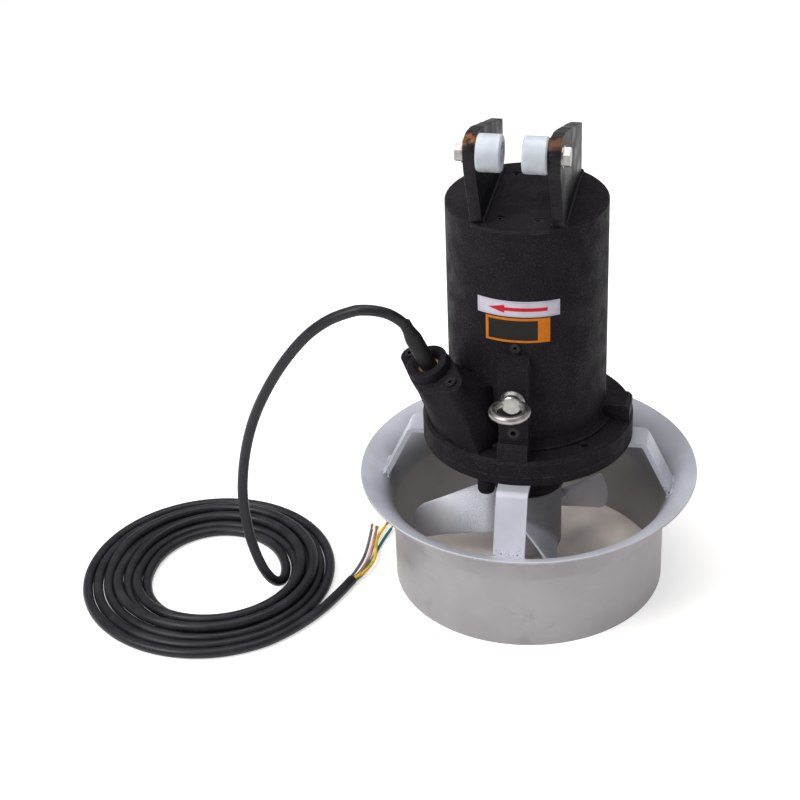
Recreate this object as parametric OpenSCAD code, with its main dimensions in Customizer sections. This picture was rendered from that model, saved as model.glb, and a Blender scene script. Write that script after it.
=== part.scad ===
/* [Duct] */
// Outer radius of the duct tube
duct_r = 145; // [140:1:160]
// Sheet thickness of the duct tube and the bell mouth
duct_wall = 2.5; // [1.5:0.5:4]
// Height of the straight duct tube
duct_h = 84; // [76:1:92]
// Radius of the flare on the outside of the bell mouth
bell_arc_r = 46; // [38:1:54]
// Angle through which the bell mouth turns outward
bell_arc_deg = 75; // [65:1:85]

/* [Struts] */
// Width of the flat bar of a strut
strut_w = 32; // [22:1:34]
// Thickness of the flat bar of a strut
strut_t = 5; // [4:0.5:7]
// Length of a strut's tab under the flange
strut_lap = 26; // [22:1:30]
// Distance of a strut's bend beyond the flange
strut_reach = 15; // [11:1:19]
// Inside radius of the bend
strut_bend_in = 4; // [3:0.5:8]
// Slope of the strut's leg below the horizontal
strut_slope = 64.5; // [58:0.5:68]
// Turn of the four struts from the lifting pad
strut_turn = 1; // [0:0.5:6]
// Diameter of the bolt that holds a strut
strut_bolt_d = 10; // [8:1:12]
// Distance of the strut bolts in from the rim of the flange
strut_bolt_in = 14; // [11:1:16]

/* [Motor casing] */
// Height of the underside of the flanges above the duct outlet
flange_z = 176; // [170:1:182]
// Width of both flanges beyond the casing
flange_w = 28.5; // [27:0.5:33]
// Thickness of the casing flange
flange_t = 18; // [14:1:22]
// Thickness of the seal housing flange
lower_flange_t = 9; // [8:1:12]
// Outer radius of the motor casing
casing_r = 81.5; // [78:0.5:86]
// Wall of the motor casing
casing_wall = 11.5; // [9.5:0.5:13]
// Height of the casing above the flange joint
casing_h = 249; // [240:1:270]
// Width of the raised collar at the foot of the casing
collar_w = 7.5; // [5:0.5:9]
// Height of the raised collar
collar_h = 4; // [3:0.5:6]
// Width of the four lugs on the flange
lug_w = 30; // [24:1:34]
// Height of the lugs above the flange
lug_h = 18; // [12:1:22]
// Distance of the screws between the lugs in from the rim of the flange
flange_screw_in = 13; // [10:0.5:14]
// Diameter of the screws between the lugs
flange_screw_d = 8; // [6:1:8]

/* [Lifting pad] */
// Width of the lifting pad
pad_w = 29; // [27:1:34]
// Depth of the pad in front of the casing
pad_depth = 18.5; // [16:0.5:22]
// Height of the pad's upper edge above the flange joint
pad_top = 120; // [112:1:124]
// Rise of the pad's sloping top from its face to the casing
pad_rise = 6; // [2:1:12]
// Height of the lifting eye above the flange joint
eye_up = 85; // [80:1:92]
// Outer diameter of the eye's ring
eye_ring_d = 42; // [40:1:48]
// Diameter of the hole in the eye
eye_hole_d = 25; // [22:1:28]
// Diameter of the eye's collar
eye_collar_d = 25; // [22:1:27]
// Diameter of the eye's shank
eye_shank_d = 10; // [8:1:12]
// Height of the oil plug above the flange joint
pad_plug_up = 46; // [44:1:52]
// Diameter of the oil plug
pad_plug_d = 13; // [10:0.5:15]
// Height of the small vent plug above the flange joint
vent_plug_up = 135; // [132:1:142]
// Diameter of the small vent plug
vent_plug_d = 9; // [7:0.5:11]

/* [Rear cap and guide] */
// Thickness of the rear cap
cap_t = 12; // [10:1:16]
// Clear width between the two guide ears
ear_gap = 68; // [62:1:72]
// Thickness of a guide ear
ear_t = 12; // [8:1:14]
// Distance of an ear's foot in from the edge of the rear cap
ear_inset = 1.5; // [1:0.5:6]
// Height of an ear's back edge
ear_back_h = 51; // [40:1:60]
// Radius of an ear's rounded nose
ear_nose_r = 13.5; // [11:0.5:17]
// Distance of the roller axis in front of the motor axis
roller_out = 86.5; // [80:0.5:92]
// Height of the roller axis above the rear cap
roller_up = 84; // [82:1:92]
// Diameter of a guide roller
roller_d = 36; // [32:1:42]
// Length of a guide roller
roller_len = 23.5; // [20:0.5:26]
// Diameter of the bolt that a roller turns on
roller_bolt_d = 10; // [8:1:12]
// Distance of the cap screws from the motor axis, across the guide
cap_screw_x = 18.5; // [16:0.5:24]
// Distance of the cap screws from the motor axis, along the guide
cap_screw_y = 51; // [48:0.5:54]
// Diameter of the cap screws
cap_screw_d = 5; // [4:0.5:6]

/* [Cable gland] */
// Direction of the gland around the motor axis
gland_turn = 225; // [220:1:230]
// Lean of the gland away from the motor axis
gland_tilt = 25; // [20:1:30]
// Distance of the gland's face beyond the rim of the flange
gland_reach = 10; // [8:1:16]
// Height of the gland's face above the flange joint
gland_up = 106; // [100:1:112]
// Thickness of the gland's two-screw plate
gland_plate_t = 12; // [8:1:14]
// Radius of the plate round the cable
gland_mid_r = 23; // [22:0.5:29]
// Radius of the plate round each screw
gland_end_r = 11; // [9:0.5:12]
// Distance between the two gland screws
gland_screw_gap = 72; // [68:1:78]
// Diameter of the gland screws
gland_screw_d = 6; // [5:1:8]
// Diameter of the gland's round collar
gland_collar_d = 43; // [34:1:46]
// Height of the gland's round collar
gland_collar_h = 12; // [6:1:14]
// Diameter of the gland's bore
gland_bore_d = 22; // [20:0.5:24]
// Diameter of the shrink sleeve on the cable
sleeve_d = 17; // [14:0.5:18]
// Length of the shrink sleeve
sleeve_len = 66; // [50:1:70]

/* [Seal housing] */
// Radius of the neck round the shaft seal
neck_r = 40; // [35:0.5:42]
// Length of the seal housing below its flange
neck_len = 64; // [60:1:66]
// Distance of the housing's cone in from the rim of its flange
cone_in = 38; // [34:1:48]
// Length of the straight end of the neck
neck_straight = 4; // [3:1:24]
// Wall of the neck round the oil chamber
neck_wall = 8; // [6:0.5:10]
// Diameter of the drain plug
drain_plug_d = 18; // [12:1:20]
// Height of the drain plug's head
drain_plug_h = 22; // [8:1:24]

/* [Shaft] */
// Radius of the shaft at the rotor
shaft_r = 17.5; // [16:0.5:19]
// Radius of the shaft in the propeller's hub
hub_shaft_r = 12.5; // [11:0.5:13]
// Radius of the shaft's threaded end
thread_r = 10; // [8:0.5:10.5]
// Outer radius of the lower bearing
bearing_low_r = 31; // [28:0.5:33]
// Outer radius of the upper bearing
bearing_top_r = 23.5; // [22:0.5:26]
// Radius of the rotor
rotor_r = 38; // [34:0.5:42]
// Height of the casing that the rotor and the stator core leave free
core_room = 129; // [119:1:149]

/* [Propeller] */
// Gap between the blade tips and the duct
tip_gap = 12.5; // [8:0.5:18]
// Number of blades
blade_count = 3; // [2:1:4]
// Radius of the propeller's hub
hub_r = 36; // [33:0.5:38]
// Length of the propeller's hub
hub_len = 84; // [78:1:86]
// Gap between the hub and the seal housing
hub_gap = 2; // [1.5:0.5:4]
// Distance of the blade's middle below the top of the hub
blade_drop = 37; // [32:1:42]
// Chord of a blade at the hub
blade_root_chord = 72; // [60:1:76]
// Chord of a blade half way out
blade_mid_chord = 48; // [42:1:56]
// Chord of a blade near the tip
blade_tip_chord = 49; // [40:1:56]
// Tilt of a blade at the hub
blade_root_tilt = 33; // [28:1:40]
// Tilt of a blade at its tip
blade_tip_tilt = 100; // [85:1:110]
// Fall of the tip's middle below the root's middle
blade_fall = 40; // [30:1:44]
// Backward sweep of a blade
blade_sweep = 10; // [6:1:24]
// Thickness of a blade at the hub
blade_root_t = 9; // [7:0.5:11]
// Thickness of a blade at the tip
blade_tip_t = 3.5; // [2.5:0.5:5]
// Hollow of a blade's face as a share of its chord
blade_camber = 0.05; // [0:0.01:0.08]
// Direction in which the first blade points
blade_turn = 168; // [0:1:360]

/* [Cord] */
// Diameter of the cable
cable_d = 10.4; // [9:0.1:12]
// Diameter of a cable core
core_d = 2.8; // [2:0.1:3.2]
// Length of the bared copper on a core
strand_len = 8; // [5:0.5:12]

/* [Fits] */
// Gap between pieces that are fitted into each other
fit_gap = 0.05; // [0.03:0.01:0.1]
// Radial clearance of a roller on its bolt
roller_play = 0.08; // [0.05:0.01:0.1]
// Gap between a turning piece and its fixed neighbour
run_gap = 0.5; // [0.4:0.1:0.8]

/* [Hidden] */
$fn = 96;
casing_z = flange_z + lower_flange_t;
flange_top = casing_z + flange_t;
casing_top = casing_z + casing_h;
cap_top = casing_top + cap_t;
quarter_turns = [0, 90, 180, 270];
casing_bore_r = casing_r - casing_wall;
collar_r = casing_r + collar_w;
flange_r = casing_r + flange_w;
flange_screw_r = flange_r - flange_screw_in;
pad_face = casing_r + pad_depth;
edge_chamfer = 1.5;
flange_chamfer = 3;
lug_face = flange_r - 2;
wall_in = casing_bore_r + 4;

// The pad's height, the eye and the plugs on the front of the casing
pad_z = casing_z + pad_top;
eye_z = casing_z + eye_up;
pad_plug_z = casing_z + pad_plug_up;
vent_plug_z = casing_z + vent_plug_up;
eye_wire_r = (eye_ring_d - eye_hole_d) / 4;
eye_mid_r = (eye_ring_d + eye_hole_d) / 4;
eye_collar_h = 6;
eye_boss_r = 0.4 * eye_collar_d;
eye_boss_h = 10.5;
eye_shank_len = 16;
plug_depth = 9;
vent_boss_h = 2.5;

// The bell's flare turns about a ring of this radius and height
bell_ring_r = duct_r + bell_arc_r;
bell_skin_r = bell_arc_r + duct_wall;
weld_gap = 0.1;

// A strut's tab, its bend and the length of its leg down to the bell
strut_tab_in = flange_r - strut_lap;
strut_bend_r = flange_r + strut_reach;
strut_bolt_r = flange_r - strut_bolt_in;
strut_bend_out = strut_bend_in + strut_t;
strut_arc_x = strut_bend_r - strut_bend_out * tan(strut_slope / 2);
strut_arc_z = flange_z - strut_bend_out;
leg_dir = [cos(strut_slope), -sin(strut_slope)];
leg_from = [strut_arc_x, strut_arc_z] + (strut_bend_in + strut_t / 2) * [sin(strut_slope), cos(strut_slope)];
leg_to_ring = [bell_ring_r, duct_h] - leg_from;
leg_near = leg_to_ring * leg_dir;
leg_off = norm(leg_to_ring - leg_near * leg_dir);
leg_len = leg_near - sqrt(pow(bell_skin_r, 2) - pow(leg_off, 2)) + 3 * strut_t;
bolt_head_t = 0.64 * strut_bolt_d;
bolt_head_r = 0.98 * strut_bolt_d;
strut_bolt_len = lower_flange_t + strut_t + 12;

// The rear cap, the ears and the rollers
end_wall_t = 14;
cap_boss_r = bearing_top_r + 8;
bearing_top_h = 14;
bearing_top_drop = 22;
bearing_top_z = casing_top - bearing_top_drop;
ear_in = ear_gap / 2;
ear_out = ear_in + ear_t;
ear_half = sqrt(pow(casing_r, 2) - pow(ear_out, 2)) - ear_inset;
roller_z = cap_top + roller_up;
roller_face = ear_in - run_gap;
roller_tip = roller_face - roller_len;
roller_well = 10;
roller_edge = 1.5;
washer_t = 1.6;
washer_r = 1.05 * roller_bolt_d;
roller_head_t = 0.64 * roller_bolt_d;
roller_hex_r = 0.98 * roller_bolt_d;
roller_nut_t = 0.8 * roller_bolt_d;
roller_nut_x = roller_tip + roller_well - roller_nut_t - run_gap;
roller_well_r = roller_hex_r + 2;
cap_head_r = 0.85 * cap_screw_d;

// The gland's height, its screws and the exit of the cable
gland_z = casing_z + gland_up;
gland_out = flange_r + gland_reach;
gland_screw_y = gland_screw_gap / 2;
gland_head_r = 0.85 * gland_screw_d;
gland_head_h = gland_screw_d;
gland_head_sunk = 3;
gland_axis = [cos(gland_turn) * sin(gland_tilt), sin(gland_turn) * sin(gland_tilt), cos(gland_tilt)];
gland_point = [gland_out * cos(gland_turn), gland_out * sin(gland_turn), gland_z];
gland_ring_z = 2;
gland_ring_h = 3;
entry_len = 24;
chamber_drop = 40;
lead_way_r = gland_bore_d / 2 + 2;
lobe_w = 88;
lobe_slab = 2;
lobe_step = 1;
lobe_web_turn = gland_turn + 27;
lobe_web_h = 66;
lobe_web_r = 3;
cable_exit = gland_point + (gland_ring_z + sleeve_len) * gland_axis;

// The seal housing and what turns in it
neck_end = flange_z - neck_len;
cone_r = flange_r - cone_in;
bearing_low_h = 16;
bearing_low_z = casing_z - bearing_low_h - 1;
bearing_low_bore = 15;
bearing_top_bore = 10;
seal_shaft_r = 14;
web_t = 7;
web_z = bearing_low_z - web_t;
seat_r = 22;
seat_h = 8;
seat_z = neck_end + 1;
seal_ring_z = seat_z + seat_h + run_gap;
seal_ring_h = 10;
seal_ring_r = 20;
seal_collar_h = 5;
seal_collar_z = web_z - run_gap - seal_collar_h;
spring_wire = 2.4;
spring_r = 17.5;
spring_turns = 4;
spring_low = seal_ring_z + seal_ring_h + spring_wire / 2 + fit_gap;
spring_high = seal_collar_z - spring_wire / 2 - fit_gap;
o_ring_d = 3.2;
o_ring_r = casing_bore_r + 6;
drain_plug_r = flange_r - 13;
drain_plug_turn = 252.5;
shoulder_r = 19;

// The motor's core
core_len = casing_h - core_room;
core_z = casing_z + core_room / 2;
air_gap = 0.6;
winding_h = 24;
winding_in = rotor_r + 6;
winding_out = casing_bore_r - 5;

// The propeller
prop_r = duct_r - duct_wall - tip_gap;
hub_top = neck_end - hub_gap;
hub_low = hub_top - hub_len;
blade_z = hub_top - blade_drop;
nut_washer_t = 4;
nut_h = 14;
nut_r = 1.7 * thread_r;
key_w = 8;
key_h = 3.5;
key_len = hub_len - 20;
blade_rows = 10;
blade_points = 20;
blade_inner = hub_shaft_r + 12;
tip_round = 18;
tip_cut = 0.95;
tip_rows = [0.3, 0.55, 0.75, 0.9, 1];

// The cable's route from its sleeve to the coil, and from the coil to its bared end
arch_route = [cable_exit, [-113, -112, 363], [-123, -118, 371], [-139, -121, 375], [-155, -122, 372],
    [-176, -122, 361], [-198, -121, 343], [-218, -118, 319], [-236, -115, 292], [-252, -112, 263],
    [-266, -109, 233], [-277, -106, 201], [-285, -103, 168], [-290, -100, 135], [-289, -98, 105],
    [-283, -96, 75], [-274, -94, 48], [-267, -90, 32], [-263, -84, 22]];
tail_route = [[-205, -144, 5.5], [-198, -119, 5.5], [-191, -93, 5.5], [-184, -67, 5.5]];
coil_centre = [-341, -90];
coil_in = 70;
coil_out = 140;
coil_h = 22;
coil_edge = 6;

// The four cores, laid from the cable's end beside each other
grey_route = [[-186, -66.5, 7.5], [-183, -48, 6], [-180.5, -25, 5], [-181, 0, 5], [-183, 28, 6]];
pink_route = [[-186, -66.5, 3.2], [-180, -48, 2], [-176, -25, 2], [-176, 0, 2], [-178, 27, 3]];
yellow_route = [[-182, -67.5, 7.5], [-172, -48, 6], [-168, -25, 6], [-172, 3, 6], [-173, 22, 4],
    [-170, 40, 2]];
green_route = [[-182, -67.5, 3.2], [-175.5, -48, 2], [-172, -25, 2], [-169, 0, 2], [-166, 20, 2],
    [-162, 36, 2]];

function unit(v) = v / norm(v);

// The point where a line from p touches the circle of radius r about c, on one side of it
function touch_point(p, c, r, side) =
    let (v = p - c, a = atan2(v.y, v.x) + side * acos(r / norm(v))) c + r * [cos(a), sin(a)];

function heading(route, i) = unit(route[min(i + 1, len(route) - 1)] - route[max(i - 1, 0)]);

// One ring of points square to the route
function route_ring(route, i, r, sides, up) =
    let (t = heading(route, i), u = unit(cross(t, up)), w = cross(u, t))
    [for (k = [0:sides - 1]) route[i] + r * (cos(360 * k / sides) * u + sin(360 * k / sides) * w)];

// The faces that join rows of points into a closed skin with flat ends
function skin_faces(rows, n) = concat(
    [[for (k = [0:n - 1]) n - 1 - k]],
    [for (i = [0:rows - 2]) for (k = [0:n - 1]) [i * n + k, i * n + (k + 1) % n, (i + 1) * n + k]],
    [for (i = [0:rows - 2]) for (k = [0:n - 1])
        [i * n + (k + 1) % n, (i + 1) * n + (k + 1) % n, (i + 1) * n + k]],
    [[for (k = [0:n - 1]) (rows - 1) * n + k]]);

// A round cord along a route
module cord(route, d, sides, up) {
    rings = [for (i = [0:len(route) - 1]) each route_ring(route, i, d / 2, sides, up)];
    polyhedron(points = rings, faces = skin_faces(len(route), sides), convexity = 8);
}

// A flat ring between two radii
module ring(r_in, r_out, h) {
    rotate_extrude() translate([r_in, 0]) square([r_out - r_in, h]);
}

// A hexagon bolt with its head below z = 0 and its shank above
module hex_bolt(d, head_r, head_t, shank) {
    translate([0, 0, -head_t]) cylinder(r = head_r, h = head_t, $fn = 6);
    cylinder(d = d, h = shank);
}

// A socket head screw with the top of its head at z = 0
module socket_screw(d, head_r, head_h, shank) {
    difference() {
        union() {
            translate([0, 0, -head_h]) cylinder(r = head_r, h = head_h);
            translate([0, 0, -head_h - shank]) cylinder(d = d, h = shank);
        }
        translate([0, 0, -head_h / 2]) cylinder(d = 0.9 * d, h = head_h, $fn = 6);
    }
}

// A plug with a hexagon socket, its face at z = 0
module socket_plug(d, h) {
    difference() {
        translate([0, 0, -h]) cylinder(d = d, h = h);
        translate([0, 0, -h / 2]) cylinder(d = d / 2, h = h, $fn = 6);
    }
}

module duct_tube() {
    color("darkgray") ring(duct_r - duct_wall, duct_r, duct_h);
}

module bell_mouth() {
    reach = 2 * bell_skin_r;
    color("silver") rotate_extrude($fn = 144) translate([bell_ring_r, duct_h]) intersection() {
        difference() {
            circle(r = bell_skin_r);
            circle(r = bell_arc_r);
        }
        polygon([[0, 0], [-reach, 0], [-reach, reach * tan(bell_arc_deg / 2)],
            reach * [-cos(bell_arc_deg), sin(bell_arc_deg)]]);
    }
}

// The edge of a bent strut, seen from its side
module strut_edge() {
    arc_c = [strut_arc_x, strut_arc_z];
    steps = [for (i = [0:8]) 90 - strut_slope * i / 8];
    leg = leg_len * leg_dir;
    outer = [for (a = steps) arc_c + strut_bend_out * [cos(a), sin(a)]];
    inner = [for (i = [8:-1:0]) arc_c + strut_bend_in * [cos(steps[i]), sin(steps[i])]];
    polygon(concat([[strut_tab_in, flange_z]], outer, [outer[8] + leg, inner[0] + leg], inner,
        [[strut_tab_in, flange_z - strut_t]]));
}

// A strut, its tab drilled and its foot cut to the inside of the bell
module strut(turn) {
    color("silver") difference() {
        rotate([0, 0, turn]) difference() {
            rotate([90, 0, 0]) translate([0, 0, -strut_w / 2]) linear_extrude(strut_w) strut_edge();
            translate([strut_bolt_r, 0, flange_z - 2 * strut_t])
                cylinder(r = strut_bolt_d / 2 + fit_gap, h = 3 * strut_t);
        }
        translate([0, 0, duct_h]) rotate_extrude($fn = 144) translate([bell_ring_r, 0])
            circle(r = bell_skin_r + weld_gap);
    }
}

module strut_front() { strut(270 + strut_turn); }
module strut_right() { strut(strut_turn); }
module strut_back() { strut(90 + strut_turn); }
module strut_left() { strut(180 + strut_turn); }

module strut_bolts() {
    color("dimgray") for (a = quarter_turns) rotate([0, 0, a + strut_turn])
        translate([strut_bolt_r, 0, flange_z - strut_t - fit_gap])
            hex_bolt(strut_bolt_d, bolt_head_r, bolt_head_t, strut_bolt_len);
}

// The holes that the strut bolts and the flange screws share in both flanges
module flange_holes() {
    for (a = quarter_turns) {
        rotate([0, 0, a + strut_turn]) translate([strut_bolt_r, 0, flange_z - 1])
            cylinder(r = strut_bolt_d / 2 + fit_gap, h = strut_bolt_len - strut_t + 3);
        rotate([0, 0, a + 45]) translate([flange_screw_r, 0, flange_z - 1])
            cylinder(r = flange_screw_d / 2 + fit_gap, h = lower_flange_t + flange_t + 2);
    }
}

module flange_screws() {
    head_t = 0.64 * flange_screw_d;
    head_r = 0.98 * flange_screw_d;
    color("dimgray") for (a = quarter_turns) rotate([0, 0, a + 45])
        translate([flange_screw_r, 0, flange_z - fit_gap])
            hex_bolt(flange_screw_d, head_r, head_t, lower_flange_t + flange_t - 3);
}

// The place of the drain plug under the lower flange
module at_drain_plug() {
    rotate([0, 0, drain_plug_turn]) translate([drain_plug_r, 0, flange_z]) children();
}

module seal_housing() {
    chamber_r = neck_r - neck_wall;
    color("black") difference() {
        rotate_extrude() polygon([[0, neck_end], [neck_r - 3, neck_end], [neck_r, neck_end + 3],
            [neck_r, neck_end + neck_straight], [cone_r, flange_z - 4], [cone_r + 4, flange_z],
            [flange_r, flange_z], [flange_r, casing_z], [casing_bore_r - fit_gap, casing_z],
            [casing_bore_r - fit_gap, casing_z + 5], [casing_bore_r - 8, casing_z + 5],
            [casing_bore_r - 8, casing_z], [0, casing_z]]);
        translate([0, 0, bearing_low_z]) cylinder(r = bearing_low_r + fit_gap, h = 2 * bearing_low_h);
        translate([0, 0, web_z - 1]) cylinder(r = seal_ring_r, h = web_t + 2);
        translate([0, 0, seat_z + seat_h]) cylinder(r = chamber_r, h = web_z - seat_z - seat_h);
        translate([0, 0, seat_z]) cylinder(r = seat_r + fit_gap, h = seat_h + 1);
        translate([0, 0, neck_end - 1]) cylinder(r = seal_shaft_r + 3, h = 3);
        translate([0, 0, casing_z - o_ring_d])
            ring(o_ring_r - o_ring_d / 2 - 0.4, o_ring_r + o_ring_d / 2 + 0.4, o_ring_d + 1);
        flange_holes();
        at_drain_plug() translate([0, 0, -1])
            cylinder(r = drain_plug_d / 4 + fit_gap, h = lower_flange_t - 2);
    }
}

module flange_o_ring() {
    color("dimgray") translate([0, 0, casing_z - o_ring_d / 2]) rotate_extrude()
        translate([o_ring_r, 0]) circle(d = o_ring_d - fit_gap, $fn = 32);
}

module drain_plug() {
    r = drain_plug_d / 2;
    color("black") at_drain_plug() {
        rotate_extrude($fn = 48) polygon([[0, -drain_plug_h], [r - 4, -drain_plug_h],
            [r - 1, -drain_plug_h + 2], [r, -drain_plug_h + 5], [r, -fit_gap], [0, -fit_gap]]);
        translate([0, 0, -fit_gap - 1]) cylinder(d = drain_plug_d / 2, h = lower_flange_t - 3);
    }
}

// The gland's own frame: its face at z = 0 and its axis along z
module at_gland() {
    rotate([0, 0, gland_turn]) translate([gland_out, 0, gland_z]) rotate([0, gland_tilt, 0]) children();
}

// The outline of a two-screw plate, a round middle drawn out to two round ends
module plate_outline(mid_r, end_r, reach, fine) {
    a = acos((mid_r - end_r) / reach);
    side = [mid_r * sin(a), mid_r * cos(a)];
    tip = [end_r * sin(a), reach + end_r * cos(a)];
    circle(r = mid_r, $fn = fine);
    for (s = [-1, 1]) translate([0, s * reach]) circle(r = end_r, $fn = fine);
    polygon([side, tip, [-tip.x, tip.y], [-side.x, side.y], [-side.x, -side.y], [-tip.x, -tip.y],
        [tip.x, -tip.y], [side.x, -side.y]]);
}

// The cast lobe that carries the gland, drawn from the flange up to its flat seat under the plate
module gland_lobe() {
    span = 2 * gland_screw_gap;
    foot_r = flange_r - flange_chamfer - 3;
    difference() {
        hull() {
            at_gland() translate([0, 0, -gland_plate_t - lobe_slab]) linear_extrude(2 * lobe_slab)
                plate_outline(gland_mid_r - lobe_step, gland_end_r - lobe_step, gland_screw_y, 32);
            rotate([0, 0, lobe_web_turn]) translate([casing_r - 2 * lobe_web_r, 0, flange_top])
                cylinder(r = lobe_web_r, h = lobe_web_h, $fn = 32);
            translate([0, 0, flange_top - 1]) linear_extrude(lobe_slab) intersection() {
                circle(r = foot_r, $fn = 96);
                rotate([0, 0, gland_turn]) translate([casing_bore_r - 10, -lobe_w / 2])
                    square([flange_r, lobe_w]);
            }
        }
        at_gland() translate([-span / 2, -span / 2, -gland_plate_t]) cube([span, span, 3 * lobe_slab]);
    }
}

// A lug from the casing to the rim of the flange, its outer top edge sloped off
module lug() {
    slope = 4;
    rotate([90, 0, 0]) translate([0, 0, -lug_w / 2]) linear_extrude(lug_w)
        polygon([[wall_in, flange_top - 2 * slope], [lug_face, flange_top - 2 * slope],
            [lug_face, flange_top + lug_h - slope], [lug_face - slope, flange_top + lug_h],
            [wall_in, flange_top + lug_h]]);
}

// The upright pad at the front, its top sloping back to the casing
module lifting_pad() {
    rotate([90, 0, -90]) translate([0, 0, -pad_w / 2]) linear_extrude(pad_w)
        polygon([[wall_in, flange_top - 1], [pad_face, flange_top - 1], [pad_face, pad_z],
            [casing_r, pad_z + pad_rise], [wall_in, pad_z + pad_rise]]);
}

// The front of the casing at a height, facing outward along z
module at_front(out, z) {
    translate([0, -out, z]) rotate([90, 0, 0]) children();
}

module motor_casing() {
    color([0.13, 0.13, 0.14]) difference() {
        union() {
            rotate_extrude() polygon([[0, casing_z], [flange_r, casing_z],
                [flange_r, flange_top - flange_chamfer], [flange_r - flange_chamfer, flange_top],
                [collar_r, flange_top], [collar_r, flange_top + collar_h - 1],
                [collar_r - 1, flange_top + collar_h], [casing_r + 2, flange_top + collar_h],
                [casing_r, flange_top + collar_h + 5], [casing_r, casing_top], [0, casing_top]]);
            for (a = quarter_turns) rotate([0, 0, a]) lug();
            lifting_pad();
            at_front(casing_r - 2, vent_plug_z) cylinder(d = vent_plug_d + 2, h = 2 + vent_boss_h);
            gland_lobe();
        }
        translate([0, 0, casing_z - 1]) cylinder(r = casing_bore_r, h = casing_h - end_wall_t + 1);
        translate([0, 0, casing_z - 1]) cylinder(r = cap_boss_r + fit_gap, h = casing_h + 2);
        flange_holes();
        at_front(pad_face + 1, eye_z) mirror([0, 0, 1])
            cylinder(r = eye_shank_d / 2 + fit_gap, h = eye_shank_len + 2);
        at_front(pad_face + 1, pad_plug_z) mirror([0, 0, 1])
            cylinder(r = pad_plug_d / 2 + fit_gap, h = plug_depth + 2);
        at_front(casing_r + vent_boss_h + 1, vent_plug_z) mirror([0, 0, 1])
            cylinder(r = vent_plug_d / 2 + fit_gap, h = plug_depth + 2);
        at_gland() translate([0, 0, -chamber_drop]) cylinder(d = gland_bore_d, h = chamber_drop);
        rotate([0, 0, gland_turn]) translate([0, 0, gland_z - chamber_drop * cos(gland_tilt)])
            rotate([0, 90, 0])
            cylinder(r = lead_way_r, h = gland_out - chamber_drop * sin(gland_tilt) + lead_way_r);
        at_gland() for (s = [-1, 1]) translate([0, s * gland_screw_y, -gland_plate_t - 12])
            cylinder(r = gland_screw_d / 2 + fit_gap, h = 13);
        for (x = [-1, 1]) for (y = [-1, 1]) translate([x * cap_screw_x, y * cap_screw_y, casing_top - 12])
            cylinder(r = cap_screw_d / 2 + fit_gap, h = 13);
    }
}

module oil_plug() {
    color("dimgray") at_front(pad_face - 1, pad_plug_z) socket_plug(pad_plug_d, plug_depth);
}

module vent_plug() {
    color("dimgray") at_front(casing_r + vent_boss_h - 0.5, vent_plug_z) socket_plug(vent_plug_d, plug_depth);
}

module lifting_eye() {
    color("lightgray") at_front(pad_face, eye_z) {
        translate([0, 0, -eye_shank_len]) cylinder(d = eye_shank_d, h = eye_shank_len + 1);
        translate([0, 0, fit_gap]) rotate_extrude() polygon([[0, 0], [eye_collar_d / 2, 0],
            [eye_collar_d / 2, eye_collar_h - 3], [eye_collar_d / 2 - 2, eye_collar_h],
            [eye_boss_r, eye_collar_h], [eye_boss_r, eye_boss_h - 1], [eye_boss_r - 1, eye_boss_h], [0, eye_boss_h]]);
        translate([0, 0, eye_ring_d / 2 + fit_gap]) rotate([90, 0, 0]) rotate_extrude()
            translate([eye_mid_r, 0]) circle(r = eye_wire_r, $fn = 48);
    }
}

module stator_core() {
    color("slategray") translate([0, 0, core_z]) ring(rotor_r + air_gap, casing_bore_r - fit_gap, core_len);
}

module stator_winding() {
    color("peru") for (z = [core_z - winding_h - fit_gap, core_z + core_len + fit_gap])
        translate([0, 0, z]) ring(winding_in, winding_out, winding_h);
}

module rear_cap() {
    color([0.13, 0.13, 0.14]) difference() {
        rotate_extrude() polygon([[0, bearing_top_z - 2], [cap_boss_r, bearing_top_z - 2],
            [cap_boss_r, casing_top], [casing_r, casing_top], [casing_r, cap_top - edge_chamfer],
            [casing_r - edge_chamfer, cap_top], [0, cap_top]]);
        translate([0, 0, bearing_top_z - 3]) cylinder(r = bearing_top_r + fit_gap, h = bearing_top_h + 3);
        translate([0, 0, bearing_top_z]) cylinder(r = bearing_top_bore + 3, h = bearing_top_h + 6);
        for (x = [-1, 1]) for (y = [-1, 1]) translate([x * cap_screw_x, y * cap_screw_y, 0]) {
            translate([0, 0, casing_top - 7]) cylinder(r = cap_screw_d / 2 + fit_gap, h = cap_t + 8);
            translate([0, 0, cap_top - cap_screw_d - 1])
                cylinder(r = cap_head_r + fit_gap, h = cap_screw_d + 2);
        }
    }
}

module cap_screws() {
    color("dimgray") for (x = [-1, 1]) for (y = [-1, 1])
        translate([x * cap_screw_x, y * cap_screw_y, cap_top - 1 + fit_gap])
            socket_screw(cap_screw_d, cap_head_r, cap_screw_d, cap_t + 2);
}

// The side view of a guide ear: a foot on the cap, drawn forward to a round nose
module ear_side() {
    nose = [-roller_out, roller_up];
    front = [-ear_half, 0];
    back = [ear_half, ear_back_h];
    polygon([front, [ear_half, 0], back, touch_point(back, nose, ear_nose_r, 1), nose,
        touch_point(front, nose, ear_nose_r, -1)]);
    translate(nose) circle(r = ear_nose_r);
}

module guide_ear(side) {
    color([0.13, 0.13, 0.14]) translate([side * (ear_in + ear_t / 2) - ear_t / 2, 0, cap_top])
        rotate([90, 0, 90]) linear_extrude(ear_t) difference() {
            ear_side();
            translate([-roller_out, roller_up]) circle(r = roller_bolt_d / 2 + fit_gap);
        }
}

module guide_ear_left() { guide_ear(-1); }
module guide_ear_right() { guide_ear(1); }

// The roller axis on one side, with z pointing outward from the guide
module at_roller(side) {
    translate([0, -roller_out, roller_z]) rotate([0, side * 90, 0]) children();
}

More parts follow.
